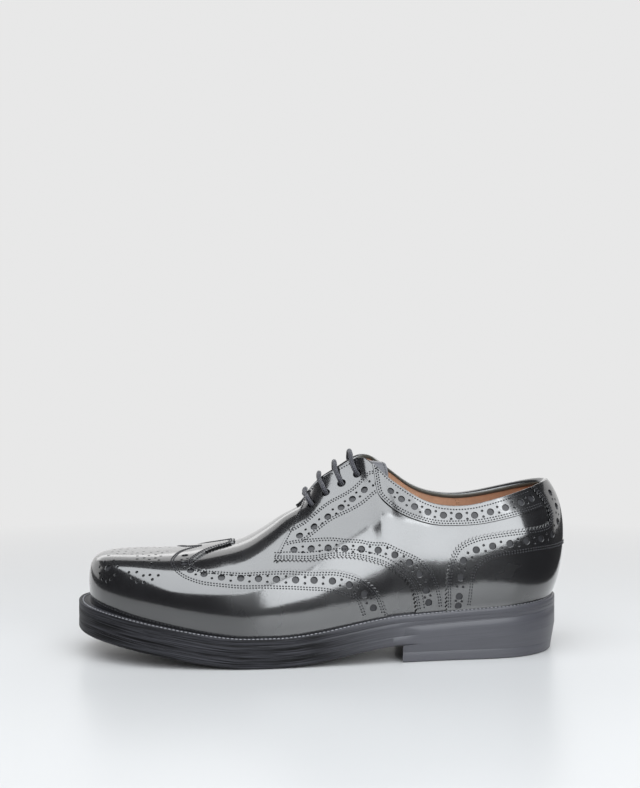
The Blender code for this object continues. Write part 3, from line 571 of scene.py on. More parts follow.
def pinked(side, rows, inward, pitch, depth):
    """Edge of an overlay with saw teeth: every second point stands back by the depth."""
    path = lay(side, rows, 0.5 * pitch)
    back = np.where(np.arange(len(path)) % 2 == 1, depth * inward, 0.0)
    back[0] = back[-1] = 0.0
    return beside(side, path, back)


def other_side(path):
    """The same edge on the inner side, in reverse order."""
    return np.column_stack([RING - path[::-1, 0], path[::-1, 1]])


def settled(flat):
    """Plan points on a fine grid of their own, so that equal ones are equal to the bit."""
    t = np.round(flat[:, 0] + 1.3e-5, 4)
    v = np.round(flat[:, 1] + 1.3e-5, 4)
    return np.column_stack([np.clip(t, 0.0, RING), np.clip(v, 0.0, 1.0)])


def shared_points(t, v):
    """First point of each group that is one point in space, and the group of each."""
    s = np.where(t <= STATIONS, t, RING - t)
    top = v > 1.0 - NEAR
    pole = top & (s <= POLE - POLE_BLEND / 2)
    ridge = top & (s <= THROAT + NEAR)
    name = np.where(pole, 0.0, np.where(ridge, s, np.where(t > RING - NEAR, 0, t)))
    rows = np.round(np.column_stack([name, v]), 4)
    first, number = np.unique(rows, axis=0, return_index=True, return_inverse=True)[1:]
    return first, np.asarray(number).reshape(-1)


def leftward(rim):
    """The outline in the order that keeps its inside on the left."""
    after = np.roll(rim, -1, axis=0)
    area = (rim[:, 0] * after[:, 1] - after[:, 0] * rim[:, 1]).sum()
    return rim if area > 0.0 else rim[::-1]


def plan_net(regions, holes, step_t, step_v):
    """Triangles of a plan of stations and heights: a grid, cut along every outline.

    Gives the station and height of each point and the triangles. The net is a
    constrained Delaunay net of grid points and outlines.
    """
    ring = np.linspace(0.0, RING, 2 * int(round(STATIONS / step_t)) + 1)
    rows = np.linspace(0.0, 1.0, int(round(1.0 / step_v)) + 1)
    near = np.zeros(len(ring), bool)
    for rim in regions:
        near |= (ring > rim[:, 0].min() - step_t) & (ring < rim[:, 0].max() + step_t)
    t, v = [a.ravel() for a in np.meshgrid(ring[near], rows)]
    clear = np.ones(len(t), bool)
    for rim in holes:
        middle = rim.mean(axis=0)
        reach = np.abs(rim - middle).max(axis=0) * HOLE_MARGIN
        clear &= (((t - middle[0]) / reach[0]) ** 2 + ((v - middle[1]) / reach[1]) ** 2) > 1
    points = [np.column_stack([t, v])[clear]]
    faces = []
    start = len(points[0])
    for rim in [leftward(r) for r in [*regions, *holes]]:
        faces.append(list(range(start, start + len(rim))))
        points.append(rim)
        start += len(rim)
    flat = np.concatenate(points)
    coords = [Vector(p) for p in (flat * (1.0, PLAN_STRETCH)).tolist()]
    made = delaunay_2d_cdt(coords, [], faces, 0, 1e-6, True)
    net = settled(np.array([(p.x, p.y / PLAN_STRETCH) for p in made[0]]))
    faces = np.array([f for f, own in zip(made[2], made[5])
                      if own and min(own) < len(regions) and max(own) < len(regions)])
    first, number = shared_points(net[:, 0], net[:, 1])
    faces = number[faces]
    faces = faces[(faces[:, 0] != faces[:, 1]) & (faces[:, 1] != faces[:, 2])
                  & (faces[:, 2] != faces[:, 0])]
    used, faces = np.unique(faces, return_inverse=True)
    return net[first[used], 0], net[first[used], 1], faces.reshape(-1, 3)


def skin_panel(name, regions, holes, low, high, finishes, step_t=0.07, step_v=0.025,
               lip=LIP):
    """Leather panel between two distances from the surface, cut in its plan.

    Both skins are surface(s, v, d) at their distance. Along every outline a narrow lip
    leads over a quarter turn from the upper skin to the wall. Corner normals are the
    surface's own, so gloss runs true, and the mean of both sides' on the middle line.
    """
    t, v, faces = plan_net(regions, holes, step_t, step_v)
    count = len(t)
    sides = np.concatenate([faces[:, [0, 1]], faces[:, [1, 2]], faces[:, [2, 0]]])
    order = np.sort(sides, axis=1)
    uses = np.unique(order, axis=0, return_inverse=True, return_counts=True)[1:]
    rim = sides[uses[1][np.asarray(uses[0]).reshape(-1)] == 1]
    edge = np.zeros(count, bool)
    edge[rim.ravel()] = True
    bottom, top = ring_surface(t, v, low), ring_surface(t, v, high)
    out, facing = [unit(ring_surface(at, v, high + 0.001) - ring_surface(at, v, high - 0.001))
                   for at in (t, RING - t)]
    middle = ((v > 1.0 - NEAR) & (np.minimum(t, RING - t) <= THROAT)) | (t < NEAR)
    middle |= t > RING - NEAR
    out = np.where(middle[:, None], unit(out + facing), out)
    across = unit(np.cross(top[rim[:, 1]] - top[rim[:, 0]], out[rim[:, 0]]))
    outward = np.zeros((count, 3))
    np.add.at(outward, rim[:, 0], across)
    np.add.at(outward, rim[:, 1], across)
    outward = unit(outward)
    bottom = bottom + np.where(edge[:, None], outward * lip, 0.0)
    brim = (top + outward * lip - out * lip)[edge]
    number = 2 * count + np.cumsum(edge) - 1
    a, b = rim[:, 0], rim[:, 1]
    wall = np.column_stack([a, b, number[b], number[a]])
    roll = np.column_stack([number[a], number[b], b + count, a + count])
    from_a, from_b = [np.where((across * outward[k]).sum(-1, keepdims=True) > 0.8,
                               outward[k], across) for k in (a, b)]
    corner = np.concatenate([
        -out[faces[:, ::-1]].reshape(-1, 3),
        out[faces].reshape(-1, 3),
        np.stack([from_a, from_b, from_b, from_a], axis=1).reshape(-1, 3),
        np.stack([from_a, from_b, out[b], out[a]], axis=1).reshape(-1, 3),
    ])
    loops = np.concatenate([faces[:, ::-1].ravel(), (faces + count).ravel(),
                            wall.ravel(), roll.ravel()])
    sizes = np.concatenate([np.full(2 * len(faces), 3), np.full(2 * len(rim), 4)])
    slots = np.repeat([len(finishes) - 1, 0, len(finishes) // 2, 0],
                      [len(faces), len(faces), len(rim), len(rim)])
    return put(name, np.concatenate([bottom, top, brim]), loops, sizes, finishes, slots,
               corner)


def put(name, points, loops, sizes, finishes, slots=None, corner=None, uv=None):
    """Mesh object from whole arrays of points, corners, face sizes, normals and UVs."""
    mesh = bpy.data.meshes.new(name)
    mesh.vertices.add(len(points))
    mesh.vertices.foreach_set("co", np.asarray(points, np.float32).ravel())
    mesh.loops.add(len(loops))
    mesh.loops.foreach_set("vertex_index", np.asarray(loops, np.int32))
    mesh.polygons.add(len(sizes))
    starts = np.concatenate([[0], np.cumsum(sizes)[:-1]])
    mesh.polygons.foreach_set("loop_start", np.asarray(starts, np.int32))
    for finish in finishes:
        mesh.materials.append(finish)
    if slots is not None:
        mesh.polygons.foreach_set("material_index", np.asarray(slots, np.int32))
    if uv is not None:
        layer = mesh.uv_layers.new(name="run")
        layer.data.foreach_set("uv", np.asarray(uv, np.float32).ravel())
    mesh.update(calc_edges=True)
    mesh.validate()
    mesh.shade_smooth()
    if corner is not None and len(corner) == len(mesh.loops):
        mesh.normals_split_custom_set(corner.tolist())
    thing = bpy.data.objects.new(name, mesh)
    bpy.context.scene.collection.objects.link(thing)
    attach(thing, "root")
    return thing


def grid_faces(rows, columns, around=False, round_trip=False):
    """Corners of the quads of a grid of points, closed round either way if asked."""
    i = np.arange(rows if round_trip else rows - 1)
    j = np.arange(columns if around else columns - 1)
    a, b = [x.ravel() for x in np.meshgrid(i, j, indexing="ij")]
    a1, b1 = (a + 1) % rows, (b + 1) % columns
    return np.column_stack([a * columns + b, a * columns + b1,
                            a1 * columns + b1, a1 * columns + b])


def past_end(run):
    """Lengths with one step more, as long as the last, for a grid that closes there."""
    return np.append(run, 2 * run[-1] - run[-2])


def grid_uv(quads, columns, down, along):
    """Corner measures of a grid's quads: one of its rows and one of its columns."""
    i, j = np.divmod(quads[:, 0], columns)
    return (down[np.column_stack([i, i, i + 1, i + 1])].ravel(),
            along[np.column_stack([j, j + 1, j + 1, j])].ravel())


def capped(rows, columns, quads):
    """Corners and face sizes of a grid's quads and of the two faces that close it."""
    first = np.arange(columns)[::-1]
    last = (rows - 1) * columns + np.arange(columns)
    return (np.concatenate([quads.ravel(), first, last]),
            np.concatenate([np.full(len(quads), 4), [columns, columns]]))


def swept(name, points, finish, flip=False):
    """Closed profile (columns of points) carried along a path (rows), ends closed."""
    rows, columns = points.shape[:2]
    quads = grid_faces(rows, columns, around=True)
    uv = np.column_stack(grid_uv(quads, columns, past_end(lengths(points[:, 0])),
                                 past_end(lengths(points[0]))))
    loops, sizes = capped(rows, columns, quads)
    uv = np.concatenate([uv, np.zeros((2 * columns, 2))])
    if flip:
        order = np.concatenate([np.arange(s, s + n)[::-1] for s, n in
                                zip(np.concatenate([[0], np.cumsum(sizes)[:-1]]), sizes)])
        loops, uv = loops[order], uv[order]
    return put(name, points.reshape(-1, 3), loops, sizes, [finish], uv=uv)
def length(name, description, default):
    """Length property in metres."""
    return bpy.props.FloatProperty(name=name, description=description, default=default,
                                   unit="LENGTH")


def colour(name, description, default):
    """Colour property."""
    return bpy.props.FloatVectorProperty(name=name, description=description, default=default,
                                         subtype="COLOR", size=3, min=0.0, max=1.0)


class ShoeSizes(bpy.types.PropertyGroup):
    """Sizes of the holes, teeth, stitches and lace."""

    large_hole: length("Large hole", "Diameter of the large punched holes", 0.0046)
    small_hole: length("Small hole", "Diameter of the small punched holes", 0.0018)
    pinking: length("Pinking pitch", "Distance between two teeth of a pinked edge", 0.0025)
    pinking_depth: length("Pinking depth", "Depth of the teeth of a pinked edge", 0.0013)
    stitch: length("Stitch pitch", "Distance between two stitches of the upper", 0.0018)
    thread: length("Thread", "Thickness of the upper's thread", 0.00090)
    welt_stitch: length("Welt stitch pitch", "Distance between two stitches of the welt",
                        0.0025)
    lace: length("Lace", "Diameter of the round lace", 0.0030)


class ShoeColours(bpy.types.PropertyGroup):
    """Colours of the leathers, threads, lace and floor."""

    leather: colour("Leather", "Colour of the polished upper leather",
                    (0.0075, 0.0075, 0.0085))
    lining: colour("Lining", "Colour of the lining and the sock", (0.56, 0.32, 0.20))
    edge: colour("Sole edge", "Colour of the welt, sole edge and heel",
                 (0.020, 0.020, 0.023))
    thread: colour("Thread", "Colour of the upper's thread", (0.026, 0.026, 0.030))
    welt_thread: colour("Welt thread", "Colour of the welt's thread", (0.26, 0.26, 0.28))
    lace: colour("Lace", "Colour of the lace", (0.052, 0.052, 0.062))
    floor: colour("Floor", "Colour of the floor", (0.60, 0.60, 0.60))


def sizes():
    return bpy.context.scene.shoe_sizes


def colours():
    return bpy.context.scene.shoe_colours


class Finish:
    """A material under construction: its shader and short ways to add its nodes."""

    def __init__(self, name, colour, roughness):
        self.material = bpy.data.materials.get(name) or bpy.data.materials.new(name)
        self.material.use_nodes = True
        tree = self.material.node_tree
        tree.nodes.clear()
        self.nodes, self.links = tree.nodes, tree.links
        self.shader = self.nodes.new("ShaderNodeBsdfPrincipled")
        self.output = self.nodes.new("ShaderNodeOutputMaterial")
        self.links.new(self.shader.outputs["BSDF"], self.output.inputs["Surface"])
        self.shader.inputs["Base Color"].default_value = (*colour, 1.0)
        self.shader.inputs["Roughness"].default_value = roughness
        self.place = self.nodes.new("ShaderNodeTexCoord")

    def set(self, **values):
        for name, value in values.items():
            self.shader.inputs[name.replace("_", " ")].default_value = value

    def node(self, kind, **values):
        """Node of a kind, with values for its sockets."""
        node = self.nodes.new("ShaderNode" + kind)
        for name, value in values.items():
            node.inputs[name.replace("_", " ")].default_value = value
        return node

    def axes(self, source):
        node = self.node("SeparateXYZ")
        self.links.new(self.place.outputs[source], node.inputs["Vector"])
        return node.outputs

    def mapped(self, scale, source):
        node = self.node("Mapping", Scale=scale)
        self.links.new(self.place.outputs[source], node.inputs["Vector"])
        return node.outputs["Vector"]

    def noise(self, scale, detail=2.0, roughness=0.5, vector=None):
        node = self.node("TexNoise", Scale=scale, Detail=detail, Roughness=roughness)
        self.links.new(vector or self.place.outputs["Object"], node.inputs["Vector"])
        return node.outputs["Fac"]

    def cells(self, scale):
        node = self.node("TexVoronoi", Scale=scale)
        self.links.new(self.place.outputs["Object"], node.inputs["Vector"])
        return node.outputs["Distance"]

    def range(self, value, low, high, start=0.0, end=1.0):
        node = self.node("MapRange", From_Min=start, From_Max=end, To_Min=low, To_Max=high)
        self.links.new(value, node.inputs["Value"])
        return node.outputs["Result"]

    def math(self, kind, first, second):
        node = self.node("Math")
        node.operation = kind
        for slot, value in enumerate((first, second)):
            if isinstance(value, float):
                node.inputs[slot].default_value = value
            else:
                self.links.new(value, node.inputs[slot])
        return node.outputs["Value"]

    def blend(self, factor, first, second):
        node = self.node("Mix")
        node.data_type = "RGBA"
        for slot, colour in ((6, first), (7, second)):
            if isinstance(colour, tuple):
                node.inputs[slot].default_value = (*colour, 1.0)
            else:
                self.links.new(colour, node.inputs[slot])
        self.links.new(factor, node.inputs[0])
        return node.outputs[2]

    def bump(self, height, strength, distance, coat=False):
        node = self.node("Bump", Strength=strength, Distance=distance)
        self.links.new(height, node.inputs["Height"])
        self.link(node.outputs["Normal"], "Normal")
        if coat:
            self.link(node.outputs["Normal"], "Coat Normal")

    def link(self, value, name):
        self.links.new(value, self.shader.inputs[name])

    def tint_between(self, factor, base, low, high):
        """Base colour that a factor blends between two tints of one colour."""
        self.link(self.blend(factor, tint(base, low), tint(base, high)), "Base Color")


def tint(base, factor):
    """A colour times a factor, held at one."""
    return tuple(min(c * factor, 1.0) for c in base)


def polished_leather():
    """Black leather polished to a high gloss: fine grain, slight change of sheen."""
    black = colours().leather
    f = Finish("polished_leather", black, 0.22)
    f.set(IOR=1.55, Specular_IOR_Level=0.6, Coat_Weight=1.0, Coat_Roughness=0.07,
          Coat_IOR=1.95)
    f.link(f.range(f.noise(38.0), 0.17, 0.30, 0.3, 0.7), "Roughness")
    f.tint_between(f.noise(90.0, 3.0), black, 0.7, 1.5)
    grain = f.math("ADD", f.math("MULTIPLY", f.cells(1500.0), 0.5), f.noise(2600.0))
    soft = f.math("MULTIPLY", f.noise(160.0, 1.0), 3.0)
    f.bump(f.math("ADD", grain, soft), 0.10, 0.00010, coat=True)
    return f.material


def raw_leather(name, colour, roughness, coat=0.0):
    """Duller leather, as in the bottom of a punched hole and on the hidden faces."""
    f = Finish(name, colour, roughness)
    f.set(Coat_Weight=coat, Coat_Roughness=0.25, Coat_IOR=1.8)
    f.tint_between(f.noise(400.0, 3.0), colour, 0.7, 1.3)
    f.bump(f.noise(2200.0, 3.0), 0.25, 0.0001)
    return f.material


def lining_leather():
    """Tan calf lining: pores in its bump, cloudy colour, a soft satin face."""
    tan = colours().lining
    f = Finish("lining_leather", tan, 0.55)
    cloud = f.math("ADD", f.math("MULTIPLY", f.noise(60.0, 4.0), 0.6),
                   f.math("MULTIPLY", f.noise(700.0, 3.0), 0.4))
    f.tint_between(f.range(cloud, 0.0, 1.0, 0.3, 0.7), tan, 0.80, 1.14)
    f.link(f.range(f.noise(300.0), 0.48, 0.64), "Roughness")
    f.bump(f.math("ADD", f.cells(1700.0), f.noise(1500.0, 3.0)), 0.22, 0.00012)
    return f.material


def sole_edge():
    """Waxed edge of stacked leather: striped and dark ahead, smoother towards the heel."""
    dark = colours().edge
    f = Finish("sole_edge", dark, 0.4)
    smooth = f.range(f.axes("Object")["X"], 0.0, 1.0, -0.01, 0.05)
    lines = f.noise(1.0, 4.0, 0.6, f.mapped((34.0, 1500.0, 1.0), "UV"))
    broad = f.noise(1.0, 2.0, 0.5, f.mapped((14.0, 600.0, 1.0), "UV"))
    both = f.math("ADD", f.math("MULTIPLY", lines, 0.6), f.math("MULTIPLY", broad, 0.4))
    ahead = f.blend(f.range(both, 0.0, 1.0, 0.42, 0.66), tint(dark, 0.15), tint(dark, 3.4))
    heel = f.blend(f.range(both, 0.0, 1.0, 0.30, 0.70), tint(dark, 3.4), tint(dark, 4.4))
    f.link(f.blend(smooth, ahead, heel), "Base Color")
    f.link(f.range(smooth, 0.46, 0.36), "Roughness")
    f.link(f.range(smooth, 0.15, 0.5), "Specular IOR Level")
    f.bump(f.math("MULTIPLY", both, f.range(smooth, 1.0, 0.12)), 0.7, 0.00030)
    return f.material


def thread_finish(name, colour):
    """Waxed thread: mottled colour and a fine twist."""
    f = Finish(name, colour, 0.40)
    f.tint_between(f.noise(1800.0), colour, 0.6, 1.5)
    f.bump(f.noise(5200.0), 0.4, 0.0001)
    return f.material


def lace_finish():
    """Braided cord: two crossed sets of ribs that follow the cord's own run and girth, with
    painted shade in the grooves between the ribs.
    """
    dark = colours().lace
    f = Finish("lace_finish", dark, 0.62)
    f.set(Sheen_Weight=0.25, Sheen_Roughness=0.4)
    uv = f.axes("UV")
    girth = math.pi * sizes().lace
    run = f.math("MULTIPLY", uv["X"], 2.0 * math.pi / BRAID_PITCH)
    turn = f.math("MULTIPLY", uv["Y"], 2.0 * math.pi * BRAID_STRANDS / girth)
    ribs = f.math("MULTIPLY", f.math("SINE", f.math("ADD", run, turn), 0.0),
                  f.math("SINE", f.math("SUBTRACT", run, turn), 0.0))
    # Colour follows the ribs' relief: painted shade in the grooves, lighter on the crowns.
    f.tint_between(f.range(ribs, 0.0, 1.0, -0.6, 0.8), dark, 0.45, 1.9)
    f.bump(f.math("ADD", ribs, f.noise(4000.0)), 0.8, 0.00022)
    return f.material


def tongue_finish():
    """Dull dark leather with a fine nap."""
    f = Finish("tongue_finish", (0.110, 0.110, 0.122), 0.45)
    f.set(Sheen_Weight=0.15)
    f.link(f.blend(f.noise(420.0, 4.0), (0.090, 0.090, 0.101), (0.135, 0.135, 0.148)),
           "Base Color")
    f.bump(f.math("ADD", f.cells(1300.0), f.noise(2500.0)), 0.3, 0.00014)
    return f.material


# Bands of holes on the outer side, as station and height share along the band.
WING_HOLES = (
    (3.68, 0.80), (3.68, 0.66), (3.82, 0.55), (4.09, 0.50), (4.43, 0.457), (4.80, 0.437),
    (5.13, 0.403), (5.46, 0.367), (5.81, 0.333), (6.15, 0.303), (6.50, 0.26),
    (6.82, 0.213), (7.10, 0.143), (7.27, 0.060),
)
QUARTER_HOLES = (
    (5.82, 0.547), (6.14, 0.517), (6.47, 0.470), (6.79, 0.433), (7.11, 0.407),
    (7.42, 0.377), (7.73, 0.357), (8.01, 0.330), (8.19, 0.260), (8.30, 0.147),
    (8.34, 0.065),
)
FACING_HOLES = (
    (5.95, 0.643), (6.25, 0.663), (6.56, 0.683), (6.87, 0.723), (7.14, 0.767),
    (7.40, 0.807), (7.70, 0.880),
)
STRIP_HOLES = (
    (7.96, 0.890), (8.18, 0.885), (8.44, 0.890), (8.70, 0.903), (8.96, 0.912),
    (9.19, 0.912), (9.45, 0.905), (9.76, 0.903), (10.08, 0.903), (10.44, 0.907),
    (10.72, 0.908),
)
COUNTER_HOLES = (
    (8.90, 0.035), (8.92, 0.107), (8.97, 0.260), (9.06, 0.415), (9.31, 0.517),
    (9.62, 0.533), (9.96, 0.527), (10.31, 0.518), (10.66, 0.503), (11.01, 0.507),
    (11.30, 0.597), (11.42, 0.737), (11.40, 0.880),
)

# Rows of stitches that don't follow an overlay's edge.
WING_FRONT = (
    (4.02, 0.999), (3.72, 0.955), (3.53, 0.870), (3.42, 0.727), (3.46, 0.613),
    (3.59, 0.520), (3.80, 0.453), (4.06, 0.410), (4.38, 0.387), (5.00, 0.350),
    (5.63, 0.297), (6.24, 0.240), (6.69, 0.173), (6.92, 0.140), (7.01, 0.100),
    (7.10, 0.030),
)
QUARTER_UP = (
    (5.69, 0.610), (5.94, 0.600), (6.29, 0.557), (6.77, 0.490), (7.10, 0.460),
    (7.39, 0.420), (7.86, 0.397), (8.19, 0.367), (8.36, 0.303), (8.46, 0.233),
    (8.53, 0.133), (8.57, 0.030),
)
FACING_UP = ((5.77, 0.705), (6.35, 0.753), (6.91, 0.803), (7.35, 0.857), (7.76, 0.965))
FACING_LOW = ((5.97, 0.600), (6.60, 0.655), (7.25, 0.717), (7.60, 0.795))
COUNTER_IN = (
    (9.10, 0.030), (9.15, 0.183), (9.22, 0.310), (9.37, 0.380), (9.58, 0.433),
    (9.93, 0.437), (10.46, 0.427), (11.12, 0.403), (12.00, 0.385),
)

# Pattern of small holes on the toe, one side of its middle line.
TOE_RING = (1.64, 0.47)
TOE_HOLES = (
    (1.26, 0.447), (1.37, 0.353), (1.54, 0.293), (1.74, 0.283), (1.87, 0.320),
    (1.99, 0.393), (1.96, 0.520), (1.30, 0.560), (1.62, 0.620), (2.37, 0.463),
    (2.59, 0.483), (2.78, 0.447), (2.94, 0.467), (3.14, 0.473), (2.50, 0.397),
    (2.65, 0.357), (2.82, 0.367), (3.01, 0.413),
)

# Rows on top of the toe: distance behind the toe's tip and beside its middle line.
TOE_SPOTS = (
    (0.0210, 0.0050), (0.0250, 0.0050), (0.0295, 0.0050), (0.0340, 0.0080),
    (0.0410, 0.0080), (0.0460, 0.0115), (0.0500, 0.0085), (0.0560, 0.0090),
    (0.0200, 0.0155), (0.0250, 0.0130), (0.0295, 0.0140), (0.0345, 0.0160),
    (0.0375, 0.0125), (0.0415, 0.0170), (0.0385, 0.0215), (0.0455, 0.0210),
    (0.0495, 0.0190), (0.0530, 0.0140), (0.0390, 0.0270), (0.0430, 0.0255),
    (0.0465, 0.0280), (0.0500, 0.0260), (0.0530, 0.0225), (0.0435, 0.0305),
    (0.0480, 0.0325), (0.0525, 0.0290),
)


def under(side, x, y):
    """Station and height share of plan points on the toe, by Newton steps."""
    grid_s, grid_v = [a.ravel() for a in np.meshgrid(np.linspace(0.2, 5.0, 97),
                                                     np.linspace(0.45, 0.99, 55))]
    place = skin(side, grid_s, grid_v)[:, :2]
    near = ((place[None] - np.column_stack([x, y])[:, None]) ** 2).sum(-1).argmin(axis=1)
    s, v = grid_s[near], grid_v[near]
    for _ in range(4):
        along, up = slopes(side, s, v)
        miss = np.column_stack([x, y]) - skin(side, s, v)[:, :2]
        det = along[:, 0] * up[:, 1] - along[:, 1] * up[:, 0]
        s = s + np.clip((miss[:, 0] * up[:, 1] - miss[:, 1] * up[:, 0]) / det, -0.1, 0.1)
        v = v + np.clip((along[:, 0] * miss[:, 1] - along[:, 1] * miss[:, 0]) / det,
                        -0.02, 0.02)
        v = np.clip(v, 0.3, 0.998)
    return s, v


def band(side, rows):
    """Outlines of a band's holes: large ones at the rows, two small ones between."""
    rows = np.asarray(rows, float)
    big = circles(side, rows, 0.5 * sizes().large_hole, 20)
    middle = 0.5 * (rows[1:] + rows[:-1])
    small = [beside(side, middle, way * SMALL_HOLE_OFFSET) for way in (-1, 1)]
    small = circles(side, np.concatenate(small), 0.5 * sizes().small_hole, 10)
    return [*big, *small]


def toe_pattern(side):
    """Outlines of the toe's holes: its ring, the side groups and the rows on top.

    A row's rims are plan circles, brought onto the surface by Newton steps.
    """
    small = 0.5 * sizes().small_hole
    holes = [*circles(side, [TOE_RING], 0.5 * sizes().large_hole, 18)]
    holes += [*circles(side, TOE_HOLES, 1.15 * small, 12)]
    behind, beside_line = np.asarray(TOE_SPOTS).T
    x = behind - ORIGIN_SHARE * SOLE_LENGTH
    y = CENTRE(x / SOLE_LENGTH + ORIGIN_SHARE)[:, 0] * BALL_WIDTH + side * beside_line
    turn = np.linspace(0.0, 2.0 * math.pi, 13)[:-1]
    rim_x = x[:, None] + 1.1 * small * np.cos(turn)
    rim_y = y[:, None] + 1.1 * small * np.sin(turn)
    s, v = under(side, rim_x.ravel(), rim_y.ravel())
    t = s if side < 0 else RING - s
    return holes + [*np.stack([t, v], axis=-1).reshape(len(x), 12, 2)]


def inset_height(side, s, inset):
    """Height share at which the surface is an inset below its top edge."""
    v = np.linspace(1.0, 0.3, 71)
    line = skin(side, s[:, None], v[None, :])
    run = np.linalg.norm(np.diff(line, axis=1), axis=-1).cumsum(axis=1)
    insets = np.broadcast_to(inset, s.shape)
    return np.array([np.interp(far, row, v[1:]) for far, row in zip(insets, run)])


def eyelet_spots(side):
    """Station and height share of each eyelet, from the top one down."""
    s = np.linspace(THROAT, TOPLINE[0][0], 60)
    low = (TOPLINE[0][0] - s) / (TOPLINE[0][0] - THROAT)
    v = inset_height(side, s, EYELET_INSET + EYELET_SPREAD * low)
    drops = TOP_EYELET_DROP + EYELET_PITCH * np.arange(EYELET_COUNT)
    return resampled(drops, lengths(skin(side, s, v)[::-1]), np.column_stack([s, v])[::-1])


def edge_rows(rows):
    """Smooth edge of an overlay: four points for each row of its table."""
    at = np.linspace(0.0, len(rows) - 1.0, 4 * (len(rows) - 1) + 1)
    return clipped(spline(np.arange(len(rows), dtype=float), rows)(at))


def clipped(path):
    """The path with its height shares held between the welt and the top edge."""
    path = path.copy()
    path[:, 1] = np.clip(path[:, 1], 0.0, 1.0)
    return path


def to_border(path):
    """A path whose two ends are brought onto the foot or the top of the upper."""
    path = clipped(path)
    ends = path[[0, -1], 1]
    path[[0, -1], 1] = np.where(np.abs(ends - np.round(ends)) < 0.08, np.round(ends), ends)
    return path


def overlay_edges():
    """Edges of the overlays on the outer side, pinked where the real ones are."""
    pitch, depth = sizes().pinking, sizes().pinking_depth
    wing = clipped(pinked(-1, WING_EDGE, -1, pitch, depth))
    front = edge_rows(QUARTER_FRONT)
    low = clipped(pinked(-1, QUARTER_LOW, 1, pitch, depth))
    counter = clipped(pinked(-1, COUNTER_EDGE, -1, pitch, depth))
    return wing, np.concatenate([front, low[1:]]), counter, edge_rows(STRIP_EDGE)


def both_sides(path):
    """The outline on the outer side and its mirror on the inner one."""
    return [path, other_side(path)]


def round_heel(path):
    """One outline from the outer side round the heel to its mirror on the inner one."""
    return [np.concatenate(both_sides(path))]


def backing(name, regions, holes, level, finish):
    """Thin dull layer under an overlay's holes, a little smaller than the overlay."""
    level = level - BACKING_GAP
    piece = skin_panel(name, regions, holes, level - BACKING_WALL, level, [finish], 0.14, 0.05,
                       lip=0.0)


def build_upper():
    """Vamp with its lining, the punched overlays, and a dull layer under their holes.

    Every skin is surface(side, s, v, d): the section's B-spline at station s and height
    share v, moved by d along its normal. A piece lies between two such distances.
    """
    black = polished_leather()
    raw = raw_leather("raw_leather", (0.026, 0.026, 0.030), 0.42, 0.12)
    finishes = [black, black, raw]
    eyelets = [r for side in (-1, 1)
               for r in circles(side, eyelet_spots(side), EYELET_RADIUS, 20)]
    whole = np.array([(0.0, 0.0), (RING, 0.0), (RING, 1.0), (0.0, 1.0)])
    cover = OVERLAY_WALL + SEAT_GAP
    upper = skin_panel("vamp_and_lining", [whole], eyelets, -cover - UPPER_WALL, -cover,
                       [black, black, lining_leather()], 0.08, 0.025, lip=0.0)
    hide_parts("upper")

    wing, quarter, counter, strip = overlay_edges()
    holes = [r for side in (-1, 1) for r in band(side, WING_HOLES) + toe_pattern(side)]
    toe = [(0.0, 0.0), (0.0, 1.0)]
    cap = skin_panel("wing_cap_punched", both_sides(np.concatenate([wing, toe])), holes,
                     -OVERLAY_WALL, 0.0, finishes)
    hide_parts("wing_cap")
    inner = to_border(beside(-1, edge_rows(WING_EDGE), -OVERLAY_MARGIN))
    backing("wing_backing", both_sides(np.concatenate([inner, toe])), [], -OVERLAY_WALL, raw)

    holes = [r for side in (-1, 1) for r in band(side, QUARTER_HOLES)
             + band(side, FACING_HOLES)]
    quarters = skin_panel("quarters_punched", round_heel(quarter), holes + eyelets,
                          -OVERLAY_WALL, 0.0, finishes)
    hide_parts("quarters")
    front, low = [beside(-1, edge_rows(rows), OVERLAY_MARGIN)
                  for rows in (QUARTER_FRONT, QUARTER_LOW)]
    inner = to_border(np.concatenate([front + (0.02, 0.0), low[1:]]))
    backing("quarters_backing", round_heel(inner), eyelets, -OVERLAY_WALL, raw)

    high = SEAT_GAP + STRIP_WALL
    holes = [r for side in (-1, 1) for r in band(side, COUNTER_HOLES)]
    foxing = skin_panel("counter_punched", round_heel(counter), holes, SEAT_GAP, high,
                        finishes)
    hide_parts("counter")
    inner = to_border(beside(-1, edge_rows(COUNTER_EDGE), -STRIP_MARGIN))
    backing("counter_backing", round_heel(inner), [], SEAT_GAP, raw)

    end = counter[(counter[:, 1] > strip[-1, 1]) & (counter[:, 0] > strip[-1, 0] - 0.1)]
    end = end - (STRIP_END_GAP, 0.0)
    region = both_sides(np.concatenate([strip, end]))
    inner = to_border(np.concatenate([beside(-1, strip, STRIP_MARGIN), end - (0.02, 0.0)]))
    for i, (side, name) in enumerate(((-1, "outer"), (1, "inner"))):
        piece = skin_panel("topline_strip_" + name, [region[i]], band(side, STRIP_HOLES),
                           SEAT_GAP, high, finishes)
        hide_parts("collar_strip_" + name)
        backing("strip_backing_" + name, [both_sides(inner)[i]], [], SEAT_GAP, raw)


